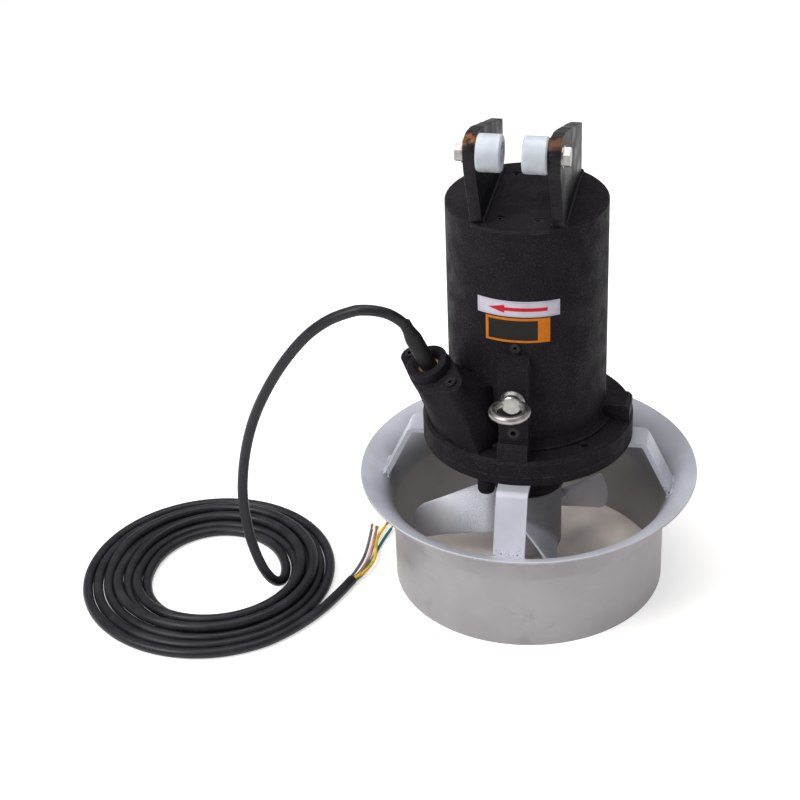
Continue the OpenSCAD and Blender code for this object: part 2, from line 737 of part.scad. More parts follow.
module roller(side) {
    bore_r = roller_bolt_d / 2 + roller_play;
    r = roller_d / 2;
    color("white") at_roller(side) rotate_extrude() polygon([[bore_r, roller_tip + roller_well],
        [roller_well_r, roller_tip + roller_well], [roller_well_r, roller_tip], [r - roller_edge, roller_tip],
        [r, roller_tip + roller_edge], [r, roller_face - roller_edge], [r - roller_edge, roller_face],
        [bore_r, roller_face]]);
}

module roller_left() { roller(-1); }
module roller_right() { roller(1); }

module roller_bolts() {
    head_x = ear_out + washer_t + 2 * fit_gap;
    color("silver") for (s = [-1, 1]) at_roller(s) translate([0, 0, head_x]) rotate([180, 0, 0])
        hex_bolt(roller_bolt_d, roller_hex_r, roller_head_t, head_x - roller_nut_x + 1);
}

module roller_washers() {
    color("silver") for (s = [-1, 1]) at_roller(s) translate([0, 0, ear_out + fit_gap])
        ring(roller_bolt_d / 2 + fit_gap, washer_r, washer_t);
}

module roller_nuts() {
    color("silver") for (s = [-1, 1]) at_roller(s) translate([0, 0, roller_nut_x]) difference() {
        cylinder(r = roller_hex_r, h = roller_nut_t, $fn = 6);
        translate([0, 0, -1]) cylinder(r = roller_bolt_d / 2 + fit_gap, h = roller_nut_t + 2);
    }
}

module gland_plate() {
    color("black") at_gland() difference() {
        union() {
            translate([0, 0, -gland_plate_t]) linear_extrude(gland_plate_t)
                plate_outline(gland_mid_r, gland_end_r, gland_screw_y, 96);
            rotate_extrude() polygon([[0, -1], [gland_collar_d / 2, -1],
                [gland_collar_d / 2, gland_collar_h - 1], [gland_collar_d / 2 - 1, gland_collar_h],
                [0, gland_collar_h]]);
        }
        translate([0, 0, -gland_plate_t - 1])
            cylinder(d = gland_bore_d, h = gland_plate_t + gland_collar_h + 2);
        translate([0, 0, gland_collar_h - 4]) cylinder(d1 = gland_bore_d, d2 = gland_bore_d + 8, h = 4.01);
        for (s = [-1, 1]) translate([0, s * gland_screw_y, 0]) {
            translate([0, 0, -gland_plate_t - 1])
                cylinder(r = gland_screw_d / 2 + fit_gap, h = gland_plate_t + 2);
            translate([0, 0, -gland_head_sunk]) cylinder(r = gland_head_r + fit_gap, h = gland_head_sunk + 1);
        }
    }
}

module gland_screws() {
    color("dimgray") at_gland() for (s = [-1, 1])
        translate([0, s * gland_screw_y, gland_head_h - gland_head_sunk + fit_gap])
            socket_screw(gland_screw_d, gland_head_r, gland_head_h, gland_plate_t + 6);
}

module gland_ring() {
    color("goldenrod") at_gland() translate([0, 0, gland_ring_z])
        ring(sleeve_d / 2 + fit_gap, gland_bore_d / 2 - fit_gap, gland_ring_h);
}

module gland_bush() {
    color("dimgray") at_gland() translate([0, 0, -gland_plate_t])
        ring(cable_d / 2 + fit_gap, gland_bore_d / 2 - fit_gap, gland_plate_t + gland_ring_z - fit_gap);
}

module cable_sleeve() {
    bore_r = cable_d / 2 + fit_gap;
    r = sleeve_d / 2;
    neck = bore_r + 0.9;
    color("black") at_gland() translate([0, 0, gland_ring_z]) rotate_extrude($fn = 48)
        polygon([[bore_r, 0], [r, 0], [r, sleeve_len - 22], [neck, sleeve_len - 9], [neck, sleeve_len],
            [bore_r, sleeve_len]]);
}

module cable_entry() {
    color("black") at_gland() translate([0, 0, -entry_len])
        cylinder(d = cable_d, h = entry_len + gland_ring_z + sleeve_len);
}

// Both bearings: where each starts, its bore, its outer radius and its height
function bearings() = [[bearing_low_z, bearing_low_bore, bearing_low_r, bearing_low_h],
    [bearing_top_z, bearing_top_bore, bearing_top_r, bearing_top_h]];
function race_wall(b) = (b[2] - b[1]) * 0.28;

module bearing_outer_rings() {
    color("silver") for (b = bearings()) translate([0, 0, b[0]]) ring(b[2] - race_wall(b), b[2], b[3]);
}

module bearing_balls() {
    count = 8;
    color("gray") for (b = bearings()) for (k = [0:count - 1]) rotate([0, 0, 360 * k / count])
        translate([(b[1] + b[2]) / 2, 0, b[0] + b[3] / 2])
            sphere(r = (b[2] - b[1]) / 2 - race_wall(b) - run_gap / 2, $fn = 24);
}

module bearing_inner_rings() {
    color("silver") for (b = bearings()) translate([0, 0, b[0]])
        ring(b[1] + fit_gap, b[1] + race_wall(b), b[3]);
}

module motor_shaft() {
    low_end = hub_low - nut_washer_t - nut_h - 2;
    low_top = bearing_low_z + bearing_low_h + fit_gap;
    color("gray") difference() {
        rotate_extrude() polygon([[0, low_end], [thread_r, low_end], [thread_r, hub_low],
            [hub_shaft_r, hub_low],
            [hub_shaft_r, hub_top], [seal_shaft_r, hub_top], [seal_shaft_r, web_z + web_t],
            [bearing_low_bore, web_z + web_t], [bearing_low_bore, low_top], [shoulder_r, low_top],
            [shoulder_r, core_z - 8], [shaft_r, core_z - 8], [shaft_r, core_z + core_len + 8],
            [bearing_top_bore + 3, core_z + core_len + 8], [bearing_top_bore + 3, bearing_top_z - fit_gap],
            [bearing_top_bore, bearing_top_z - fit_gap],
            [bearing_top_bore, bearing_top_z + bearing_top_h + 1],
            [0, bearing_top_z + bearing_top_h + 1]]);
        key_slot(fit_gap);
    }
}

// The key's space, half in the shaft and half in the hub
module key_slot(gap) {
    translate([-key_w / 2 - gap, hub_shaft_r - key_h - gap, hub_low + 10 - gap])
        cube([key_w + 2 * gap, 2 * key_h + 2 * gap, key_len + 2 * gap]);
}

module propeller_key() {
    color("gray") key_slot(0);
}

module rotor() {
    color("slategray") translate([0, 0, core_z]) ring(shaft_r + fit_gap, rotor_r, core_len);
}

module seal_seat() {
    color("lightgray") translate([0, 0, seat_z]) ring(seal_shaft_r + run_gap, seat_r, seat_h);
}

module seal_ring() {
    color("gray") translate([0, 0, seal_ring_z])
        ring(seal_shaft_r + fit_gap, seal_ring_r - run_gap, seal_ring_h);
}

// A coil spring between the seal ring and its collar
module seal_spring() {
    steps = 12 * spring_turns;
    coil = [for (i = [0:steps]) [spring_r * cos(30 * i), spring_r * sin(30 * i),
        spring_low + (spring_high - spring_low) * i / steps]];
    color("silver") cord(coil, spring_wire, 8, [0, 0, 1]);
}

module seal_collar() {
    color("gray") translate([0, 0, seal_collar_z])
        ring(seal_shaft_r + fit_gap, seal_ring_r - run_gap, seal_collar_h);
}

// The shape of a blade along its radius
function blade_share(r) = (r - hub_r) / (prop_r - hub_r);
function tip_share(r) = max(0, (r - prop_r + tip_round) / tip_round);
function blade_chord(r) =
    let (t = blade_share(r))
    (blade_root_chord * (1 - t) * (1 - 2 * t) + 4 * blade_mid_chord * t * (1 - t)
        + blade_tip_chord * t * (2 * t - 1))
    * sqrt(1 - tip_cut * pow(tip_share(r), 2));
function blade_thick(r) = blade_root_t + (blade_tip_t - blade_root_t) * blade_share(r);
function blade_slope(r) = blade_root_tilt + (blade_tip_tilt - blade_root_tilt) * blade_share(r);
function blade_mid(r) = blade_z - blade_fall * blade_share(r);
function blade_lag(r) = tan(blade_sweep) * max(0, r - hub_r);

// One section of a blade, an arched ellipse laid round the axis at radius r
function blade_row(r) =
    let (half = blade_chord(r) / 2, slope = blade_slope(r), lag = blade_lag(r))
    [for (k = [0:blade_points - 1])
        let (a = 360 * k / blade_points, s = half * cos(a), arch = blade_camber * 2 * half * pow(sin(a), 2),
            n = blade_thick(r) / 2 * sin(a) + arch,
            turn = (lag - s * cos(slope) + n * sin(slope)) / r * 180 / PI)
        [r * cos(turn), r * sin(turn), blade_mid(r) + s * sin(slope) + n * cos(slope)]];

module blade() {
    main = [for (i = [0:blade_rows - 1])
        blade_inner + (prop_r - tip_round - blade_inner) * i / (blade_rows - 1)];
    radii = concat(main, [for (e = tip_rows) prop_r - tip_round * (1 - e)]);
    rows = [for (r = radii) each blade_row(r)];
    polyhedron(points = rows, faces = skin_faces(len(radii), blade_points), convexity = 6);
}

module propeller() {
    color("silver") difference() {
        union() {
            rotate_extrude() polygon([[0, hub_low], [hub_r - 6, hub_low], [hub_r, hub_low + 10],
                [hub_r, hub_top - 2], [hub_r - 2, hub_top], [0, hub_top]]);
            for (k = [0:blade_count - 1]) rotate([0, 0, blade_turn + 360 * k / blade_count]) blade();
        }
        translate([0, 0, hub_low - 1]) cylinder(r = hub_shaft_r + fit_gap, h = hub_len + 2);
        key_slot(fit_gap);
    }
}

module propeller_washer() {
    color("silver") translate([0, 0, hub_low - nut_washer_t - fit_gap])
        ring(thread_r + fit_gap, hub_r - 10, nut_washer_t);
}

module propeller_nut() {
    color("silver") translate([0, 0, hub_low - nut_washer_t - nut_h - 2 * fit_gap]) difference() {
        cylinder(r = nut_r, h = nut_h, $fn = 6);
        translate([0, 0, -1]) cylinder(r = thread_r + fit_gap, h = nut_h + 2);
    }
}

module cable_arch() {
    color("black") cord(arch_route, cable_d, 10, [0, 1, 0]);
}

module cable_coil() {
    span = coil_out - coil_in;
    color("black") translate([coil_centre.x, coil_centre.y, 0]) rotate_extrude() translate([coil_in, 0])
        polygon([[coil_edge, 0], [span - coil_edge, 0], [span, coil_edge], [span, coil_h - coil_edge],
            [span - coil_edge, coil_h], [coil_edge, coil_h], [0, coil_h - coil_edge], [0, coil_edge]]);
}

module cable_tail() {
    color("black") cord(tail_route, cable_d, 10, [0, 0, 1]);
}

module core_grey() { color("gray") cord(grey_route, core_d, 8, [0, 0, 1]); }
module core_pink() { color("rosybrown") cord(pink_route, core_d, 8, [0, 0, 1]); }
module core_yellow() { color("gold") cord(yellow_route, core_d, 8, [0, 0, 1]); }
module core_green() { color("teal") cord(green_route, core_d, 8, [0, 0, 1]); }

// The bared copper beyond a core's end
module strands(route) {
    last = len(route) - 1;
    way = heading(route, last);
    cord([route[last] + fit_gap * way, route[last] + strand_len * way], 0.8 * core_d, 8, [0, 0, 1]);
}

module core_strands() {
    color("chocolate") {
        strands(grey_route);
        strands(pink_route);
        strands(yellow_route);
        strands(green_route);
    }
}

duct_tube();
bell_mouth();
strut_front();
strut_right();
strut_back();
strut_left();
strut_bolts();
seal_housing();
flange_o_ring();
flange_screws();
drain_plug();
motor_casing();
oil_plug();
vent_plug();
lifting_eye();
stator_core();
stator_winding();
rear_cap();
cap_screws();
guide_ear_left();
guide_ear_right();
roller_left();
roller_right();
roller_bolts();
roller_washers();
roller_nuts();
gland_plate();
gland_screws();
gland_ring();
gland_bush();
cable_sleeve();
cable_entry();
bearing_outer_rings();
bearing_balls();
bearing_inner_rings();
motor_shaft();
rotor();
seal_seat();
seal_ring();
seal_spring();
seal_collar();
propeller();
propeller_key();
propeller_washer();
propeller_nut();
cable_arch();
cable_coil();
cable_tail();
core_grey();
core_pink();
core_yellow();
core_green();
core_strands();
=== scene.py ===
import math

import bpy
import numpy as np
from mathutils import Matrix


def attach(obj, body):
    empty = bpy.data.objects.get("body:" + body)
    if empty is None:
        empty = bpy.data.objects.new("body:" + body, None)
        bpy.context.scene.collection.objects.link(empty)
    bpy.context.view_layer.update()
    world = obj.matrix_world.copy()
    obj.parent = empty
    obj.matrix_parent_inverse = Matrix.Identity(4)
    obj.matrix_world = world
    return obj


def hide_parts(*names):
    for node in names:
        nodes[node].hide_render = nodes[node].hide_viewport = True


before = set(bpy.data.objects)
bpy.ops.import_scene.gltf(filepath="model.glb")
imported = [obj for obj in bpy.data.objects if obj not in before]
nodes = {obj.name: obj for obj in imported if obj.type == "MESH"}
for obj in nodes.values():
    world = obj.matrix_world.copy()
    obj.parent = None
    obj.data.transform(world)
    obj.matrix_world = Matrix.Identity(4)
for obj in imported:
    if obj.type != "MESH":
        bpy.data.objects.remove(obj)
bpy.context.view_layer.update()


# Studio
# A pale seamless floor with a sandy board under the duct, a large soft lamp from the upper left,
# a weak one from the right, one overhead and even light all round; the camera stands in front and
# looks down into the duct.
def feed(tree, plug, value):
    """Joins an output to an input, or sets the input to a plain value."""
    if isinstance(value, bpy.types.NodeSocket):
        tree.links.new(value, plug)
    else:
        plug.default_value = value


def put(tree, kind, settings=None, **feeds):
    """Adds one shader node: settings are its own options, feeds are its inputs by name, each a
    plain value or another node's output."""
    made = tree.nodes.new(kind)
    for name, value in (settings or {}).items():
        setattr(made, name, value)
    for name, value in feeds.items():
        feed(tree, made.inputs[name.replace("_", " ")], value)
    return made


def calc(tree, operation, *terms):
    """One step of arithmetic on values that change over the surface."""
    made = tree.nodes.new("ShaderNodeMath")
    made.operation = operation
    for plug, term in zip(made.inputs, terms):
        feed(tree, plug, term)
    return made.outputs[0]


def span(tree, one, two):
    """The length of a slope from its two sides: the root of the sum of their squares."""
    squares = [calc(tree, "POWER", side, 2.0) for side in (one, two)]
    return calc(tree, "SQRT", calc(tree, "ADD", *squares))


def fade(tree, value, low, high, to_low=0.0, to_high=1.0):
    """Carries a value smoothly from one range to another, level outside it."""
    made = tree.nodes.new("ShaderNodeMapRange")
    made.interpolation_type = "SMOOTHSTEP"
    for plug, term in zip(made.inputs, (value, low, high, to_low, to_high)):
        feed(tree, plug, term)
    return made.outputs[0]


def tint(tree, share, under, over):
    """Lays one colour over another by a share that changes over the surface."""
    made = tree.nodes.new("ShaderNodeMix")
    made.data_type = "RGBA"
    for plug, term in zip((made.inputs[0], made.inputs[6], made.inputs[7]), (share, under, over)):
        feed(tree, plug, term)
    return made.outputs[2]


def blend(tree, value, low, high, under, over):
    """Goes from one colour to another as a value rises from low to high."""
    return tint(tree, fade(tree, value, low, high), under, over)


def here(tree):
    """The place of a surface point on its own object, in metres."""
    return put(tree, "ShaderNodeTexCoord").outputs["Object"]


def parts(tree, vector):
    """The three parts of a vector: to the right, away from the front, and up."""
    return put(tree, "ShaderNodeSeparateXYZ", Vector=vector).outputs


def noise(tree, scale, detail, roughness=0.5, place=None):
    """A cloudy value between nought and one that changes from place to place."""
    return put(tree, "ShaderNodeTexNoise", Vector=place or here(tree), Scale=scale, Detail=detail,
               Roughness=roughness).outputs[0]


def blank(name):
    """A material with an empty node tree and its output."""
    made = bpy.data.materials.new(name)
    made.use_nodes = True
    made.node_tree.nodes.clear()
    return made, made.node_tree, made.node_tree.nodes.new("ShaderNodeOutputMaterial")


floor_half = 6.0
board_r, board_blur = 0.1429, 0.0005
near_r, beyond_r = 0.6, 2.2
near_glow, board_dimming = 0.54, 0.49
floor_corners = [(-floor_half, -floor_half, 0), (floor_half, -floor_half, 0),
                 (floor_half, floor_half, 0), (-floor_half, floor_half, 0)]
floor_mesh = bpy.data.meshes.new("floor")
floor_mesh.from_pydata(floor_corners, [], [(0, 1, 2, 3)])
floor = bpy.data.objects.new("floor", floor_mesh)
bpy.context.scene.collection.objects.link(floor)
floor_finish, tree, out = blank("studio_floor")
rays = put(tree, "ShaderNodeLightPath").outputs
direct = calc(tree, "MAXIMUM", rays["Is Camera Ray"],
              calc(tree, "MAXIMUM", rays["Is Glossy Ray"], rays["Is Transmission Ray"]))
place = here(tree)
far = span(tree, *parts(tree, place)[:2])
board = fade(tree, far, board_r + board_blur, board_r - board_blur)
grain = noise(tree, 25.0, 6.0, place=place)
wood = blend(tree, grain, 0.3, 0.7, (0.7, 0.61, 0.54, 1), (0.86, 0.77, 0.7, 1))
away = fade(tree, far, near_r, beyond_r)
sheet = tint(tree, away, (0.78, 0.77, 0.75, 1), (0.02, 0.02, 0.02, 1))
paper = put(tree, "ShaderNodeBsdfDiffuse", Color=tint(tree, board, sheet, wood))
bright = calc(tree, "ADD", near_glow, calc(tree, "MULTIPLY", away, 1 - near_glow))
bright = calc(tree, "SUBTRACT", bright, calc(tree, "MULTIPLY", board, board_dimming))
glow = put(tree, "ShaderNodeEmission", Color=(1, 1, 1, 1),
           Strength=calc(tree, "MULTIPLY", direct, bright))
both = put(tree, "ShaderNodeAddShader")
tree.links.new(paper.outputs[0], both.inputs[0])
tree.links.new(glow.outputs[0], both.inputs[1])
tree.links.new(both.outputs[0], out.inputs["Surface"])
floor_mesh.materials.append(floor_finish)

world = bpy.data.worlds.new("studio")
bpy.context.scene.world = world
world.use_nodes = True
tree = world.node_tree
tree.nodes.clear()
rays = put(tree, "ShaderNodeLightPath").outputs
around = put(tree, "ShaderNodeBackground", Color=(0.97, 0.98, 1.0, 1), Strength=0.36)
behind = put(tree, "ShaderNodeBackground", Color=(1, 1, 1, 1), Strength=1.0)
pick = put(tree, "ShaderNodeMixShader")
tree.links.new(rays["Is Camera Ray"], pick.inputs[0])
tree.links.new(around.outputs[0], pick.inputs[1])
tree.links.new(behind.outputs[0], pick.inputs[2])
tree.links.new(pick.outputs[0], put(tree, "ShaderNodeOutputWorld").inputs["Surface"])


def lamp(name, place, aim, size, power):
    """A square soft lamp at a place, turned to a point."""
    data = bpy.data.lights.new(name, "AREA")
    data.shape, data.size, data.energy = "SQUARE", size, power
    made = bpy.data.objects.new(name, data)
    bpy.context.scene.collection.objects.link(made)
    made.location = place
    back = np.array(place, float) - np.array(aim, float)
    tilt, turn = math.acos(back[2] / np.linalg.norm(back)), math.atan2(back[0], -back[1])
    made.rotation_euler = (tilt, 0, turn)


lamp("key", (-1.5, -1.5, 2.1), (-0.05, 0, 0.2), 1.3, 58)
lamp("fill", (1.9, -1.2, 1.3), (0, 0, 0.2), 1.2, 2)
lamp("top", (-0.1, 0.3, 2.6), (-0.1, 0, 0), 1.6, 26)

camera_place, camera_turn = (0.2612, -1.7477, 1.2898), (58.6465, 2.1057, 11.5578)
camera_data = bpy.data.cameras.new("camera")
camera_data.sensor_width, camera_data.lens = 36, 88.73
camera = bpy.data.objects.new("camera", camera_data)
bpy.context.scene.collection.objects.link(camera)
camera.location = camera_place
camera.rotation_euler = [math.radians(angle) for angle in camera_turn]
bpy.context.scene.camera = camera
bpy.context.scene.view_settings.view_transform = "Standard"


# Duct
# A rolled sheet steel tube with a spun bell mouth welded on top, both sprayed with silver paint
# inside; the outside stays a warm mill grey with rub marks and smudges from handling.
def group(name, inputs, outputs):
    """An empty shader node group with number inputs and the named outputs."""
    made = bpy.data.node_groups.new(name, "ShaderNodeTree")
    kind = "NodeSocketFloat"
    for label, value in inputs.items():
        plug = made.interface.new_socket(label, in_out="INPUT", socket_type=kind)
        plug.default_value = value
    for label in outputs:
        made.interface.new_socket(label, in_out="OUTPUT", socket_type=kind)
    return made, made.nodes.new("NodeGroupInput").outputs, made.nodes.new("NodeGroupOutput").inputs


def use(tree, made, **values):
    """Places a node group in a material with its own values and gives its outputs."""
    return put(tree, "ShaderNodeGroup", {"node_tree": made}, **values).outputs


def coating(name, colour, roughness, metallic=0.0, **rest):
    """A material with one Principled shader, ready for its varying colour, roughness and bump."""
    made, tree, out = blank(name)
    shader = put(tree, "ShaderNodeBsdfPrincipled", Base_Color=(*colour, 1), Roughness=roughness,
                 Metallic=metallic, **rest)
    tree.links.new(shader.outputs[0], out.inputs["Surface"])
    return made, tree, shader.inputs


def bump(tree, plugs, height, strength, distance):
    """Raises the surface by a height that changes over it."""
    made = put(tree, "ShaderNodeBump", Strength=strength, Distance=distance, Height=height)
    tree.links.new(made.outputs[0], plugs["Normal"])


def dress(material, *names):
    """Gives solids a material in place of their plain one."""
    for name in names:
        nodes[name].data.materials.clear()
        nodes[name].data.materials.append(material)


# Mottle: cloudy light and dark in two sizes, as sprayed or mill-finished sheet shows.
mottle, given, gives = group("mottle", {"Size": 12.0, "Fine": 900.0}, ("Clouds", "Specks"))
place = here(mottle)
mottle.links.new(noise(mottle, given["Size"], 5.0, 0.6, place), gives["Clouds"])
mottle.links.new(noise(mottle, given["Fine"], 2.0, 0.5, place), gives["Specks"])

# Rubs: thin scratches that lie in one direction, drawn out by stretching a noise.
rubs, given, gives = group("rubs", {"Along": 14.0, "Across": 420.0, "Cut": 0.66}, ("Mask",))
x, y, z = parts(rubs, here(rubs))
stretched = put(
    rubs, "ShaderNodeCombineXYZ",
    X=calc(rubs, "MULTIPLY", calc(rubs, "ARCTAN2", y, x),
           calc(rubs, "MULTIPLY", given["Along"], 0.15)),
    Y=calc(rubs, "MULTIPLY", z, given["Across"]),
    Z=calc(rubs, "MULTIPLY", calc(rubs, "ADD", x, y), 3.0))
lines = noise(rubs, 1.0, 3.0, 0.7, stretched.outputs[0])
rubs.links.new(fade(rubs, lines, given["Cut"], calc(rubs, "ADD", given["Cut"], 0.08)),
               gives["Mask"])

# Edge wear: where the normal of a softened edge leaves the face's own, broken up by a noise.
edge_wear, given, gives = group(
    "edge_wear", {"Width": 0.0015, "Patches": 120.0, "Amount": 1.0}, ("Mask",))
soft = put(edge_wear, "ShaderNodeBevel", {"samples": 4}, Radius=given["Width"])
own = put(edge_wear, "ShaderNodeNewGeometry")
agree = put(edge_wear, "ShaderNodeVectorMath", {"operation": "DOT_PRODUCT"})
edge_wear.links.new(soft.outputs[0], agree.inputs[0])
edge_wear.links.new(own.outputs["Normal"], agree.inputs[1])
bend = fade(edge_wear, calc(edge_wear, "SUBTRACT", 1.0, agree.outputs["Value"]), 0.02, 0.2)
broken = fade(edge_wear, noise(edge_wear, given["Patches"], 4.0, 0.65), 0.42, 0.62)
worn = calc(edge_wear, "MULTIPLY", bend, broken)
edge_wear.links.new(calc(edge_wear, "MULTIPLY", worn, given["Amount"]), gives["Mask"])


def axis_distance(tree):
    """The distance of a point from the mixer's axis, and its height, both in metres."""
    x, y, z = parts(tree, here(tree))
    return span(tree, x, y), z


mill_dark, mill_light = (0.34, 0.317, 0.328, 1), (0.42, 0.393, 0.407, 1)
wall_r, wall_blur = 0.1437, 0.0003
tube_paint, tree, plugs = coating("duct_tube_finish", (0.42, 0.4, 0.385), 0.42, 0.35)
spots = use(tree, mottle, Size=9.0, Fine=1300.0)
marks = use(tree, rubs, Along=10.0, Across=300.0, Cut=0.64)
inside = fade(tree, axis_distance(tree)[0], wall_r + wall_blur, wall_r - wall_blur)
warm = blend(tree, spots["Clouds"], 0.3, 0.72, mill_dark, mill_light)
warm = tint(tree, calc(tree, "MULTIPLY", marks["Mask"], 0.3), warm, (0.56, 0.535, 0.515, 1))
smudge = fade(tree, noise(tree, 26.0, 4.0, 0.6), 0.6, 0.72, 0.0, 0.35)
warm = tint(tree, smudge, warm, (0.22, 0.205, 0.205, 1))
cool = blend(tree, spots["Clouds"], 0.3, 0.75, (0.34, 0.335, 0.345, 1), (0.43, 0.425, 0.44, 1))
tree.links.new(tint(tree, inside, warm, cool), plugs["Base Color"])
tree.links.new(fade(tree, spots["Clouds"], 0.2, 0.8, 0.36, 0.52), plugs["Roughness"])
bump(tree, plugs, spots["Specks"], 0.12, 0.0003)
dress(tube_paint, "duct_tube")

bell_middle_r, bell_middle_z = 0.191, 0.084
bell_wall, bell_blur = 0.0472, 0.0002
throat_shade_inner_r, throat_shade_outer_r = 0.146, 0.158
lip_low, lip_high = 0.115, 0.125
bell_paint, tree, plugs = coating("bell_finish", (0.5, 0.505, 0.54), 0.42, 0.25)
spots = use(tree, mottle, Size=14.0, Fine=1500.0)
chips = use(tree, edge_wear, Width=0.0012, Patches=150.0, Amount=0.8)
far, high = axis_distance(tree)
spray = blend(tree, spots["Clouds"], 0.3, 0.72, (0.52, 0.525, 0.59, 1), (0.66, 0.665, 0.74, 1))
# Painted shade: the spray colour darkens toward the throat, where the bell turns down into the
# tube.
spray = blend(tree, far, throat_shade_outer_r, throat_shade_inner_r, spray, (0.31, 0.31, 0.33, 1))
from_middle = span(tree, calc(tree, "SUBTRACT", far, bell_middle_r),
                   calc(tree, "SUBTRACT", high, bell_middle_z))
warm = blend(tree, spots["Clouds"], 0.3, 0.72, mill_dark, mill_light)
spray = blend(tree, from_middle, bell_wall + bell_blur, bell_wall - bell_blur, spray, warm)
on_lip = calc(tree, "MULTIPLY", chips["Mask"], fade(tree, high, lip_low, lip_high))
tree.links.new(tint(tree, on_lip, spray, (0.66, 0.66, 0.68, 1)), plugs["Base Color"])
tree.links.new(fade(tree, spots["Specks"], 0.25, 0.75, 0.34, 0.5), plugs["Roughness"])
bump(tree, plugs, spots["Specks"], 0.2, 0.0003)
dress(bell_paint, "bell_mouth")


# Struts
# Four flat bars bent over a former, bolted under the flange and welded to the bell; they were
# sprayed with the bell. Each foot carries a hand-laid weld bead on both faces of the bar.
burnt_low, burnt_high = 0.118, 0.128
strut_paint, tree, plugs = coating("strut_finish", (0.55, 0.555, 0.58), 0.38, 0.25)
spots = use(tree, mottle, Size=22.0, Fine=1600.0)
chips = use(tree, edge_wear, Width=0.0012, Patches=170.0, Amount=0.9)
spray = blend(tree, spots["Clouds"], 0.3, 0.72, (0.54, 0.545, 0.61, 1), (0.64, 0.645, 0.72, 1))
spray = tint(tree, chips["Mask"], spray, (0.75, 0.75, 0.77, 1))
pits = fade(tree, noise(tree, 480.0, 3.0, 0.6), 0.58, 0.64)
burnt = calc(tree, "MULTIPLY", pits, fade(tree, axis_distance(tree)[1], burnt_high, burnt_low))
tree.links.new(tint(tree, burnt, spray, (0.07, 0.055, 0.045, 1)), plugs["Base Color"])
tree.links.new(fade(tree, spots["Specks"], 0.25, 0.75, 0.3, 0.46), plugs["Roughness"])
bump(tree, plugs, spots["Specks"], 0.18, 0.0003)
dress(strut_paint, "strut_front", "strut_right", "strut_back", "strut_left")


def grid_faces(rows, columns):
    """The four-sided faces of a grid of points, ring by ring: each point joins its neighbour, the
    last one the first, and both join the ring after."""
    row, column = np.meshgrid(np.arange(rows - 1), np.arange(columns), indexing="ij")
    after = (column + 1) % columns
    return np.stack([row * columns + column, row * columns + after,
                     (row + 1) * columns + after, (row + 1) * columns + column], -1).reshape(-1, 4)


def add_mesh(name, points, faces, material, body="mixer"):
    """Puts arrays of points and faces into a mesh, smooth but for creases, and rides it on a
    body."""
    crease = math.radians(35)
    mesh = bpy.data.meshes.new(name)
    mesh.from_pydata(points.reshape(-1, 3).tolist(), [], [list(f) for f in faces])
    mesh.validate()
    mesh.shade_smooth()
    mesh.set_sharp_from_angle(angle=crease)
    mesh.materials.append(material)
    made = bpy.data.objects.new(name, mesh)
    bpy.context.scene.collection.objects.link(made)
    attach(made, body)
    return made


def unit(vectors):
    """Vectors brought to length one."""
    return vectors / np.linalg.norm(vectors, axis=-1, keepdims=True)


def tube(path, radius, side, sides):
    """A round tube: at each point of a path a circle of the local radius, square to the path's
    direction. Side is a direction, or one for each point, that the path never runs along. Both
    ends close in a point."""
    ahead = unit(np.gradient(path, axis=0))
    across = unit(np.cross(ahead, np.broadcast_to(side, path.shape)))
    over = np.cross(across, ahead)
    turn = np.linspace(0, 2 * np.pi, sides, endpoint=False)[None, :, None]
    radius = np.broadcast_to(radius, len(path))[:, None, None]
    circle = np.cos(turn) * across[:, None] + np.sin(turn) * over[:, None]
    rings = path[:, None] + radius * circle
    first, last = np.repeat(path[:1], sides, 0)[None], np.repeat(path[-1:], sides, 0)[None]
    return np.concatenate([first, rings, last]), grid_faces(len(path) + 2, sides)


def gather(shapes):
    """Joins several arrays of points and faces into one."""
    starts = np.cumsum([0] + [p.reshape(-1, 3).shape[0] for p, f in shapes[:-1]])
    return (np.concatenate([p.reshape(-1, 3) for p, f in shapes]),
            np.concatenate([f + s for (p, f), s in zip(shapes, starts)]))


def beaded(length, radius, seed, pitch=0.0035):
    """The radius of a weld bead along its length: even ripples one pitch apart, made uneven by
    slow waves."""
    step, fewest = 0.0007, 30
    along = np.linspace(0, length, max(int(length / step), fewest))
    rng = np.random.default_rng(seed)
    slow = sum(rng.uniform(0.4, 1) * np.sin(2 * np.pi * along / rng.uniform(0.012, 0.05)
                                            + rng.uniform(0, 6)) for _ in range(4)) / 4
    ripple = np.abs(np.sin(np.pi * along / pitch + 1.3 * slow))
    return along, radius * (0.78 + 0.22 * ripple + 0.2 * slow)


def foot_line(turn, face, spread, seed):
    """A bead across a strut's foot: the line where one face of the leg meets the ring-shaped
    bell, carried over the bar's width and a little past it."""
    bead_r, bell_face = 0.0021, 0.0486
    leg_slope, leg_top = np.radians(64.5), np.array([0.1525, 0.1137])
    along, radius = beaded(2 * spread, bead_r, seed)
    way = np.array([np.cos(leg_slope), -np.sin(leg_slope)])
    out = np.array([np.sin(leg_slope), np.cos(leg_slope)])
    start = leg_top + face * out
    gap = np.array([bell_middle_r, bell_middle_z]) - start
    near = gap @ way
    foot = start + (near - np.sqrt(bell_face ** 2 - (gap @ gap - near ** 2))) * way
    sideways = along - spread
    outward = np.sqrt(foot[0] ** 2 - sideways ** 2)
    c, s = np.cos(np.radians(turn)), np.sin(np.radians(turn))
    path = np.stack([outward * c - sideways * s, outward * s + sideways * c,
                     np.full_like(along, foot[1])], -1)
    return tube(path, radius, (0, 0, 1), 10)


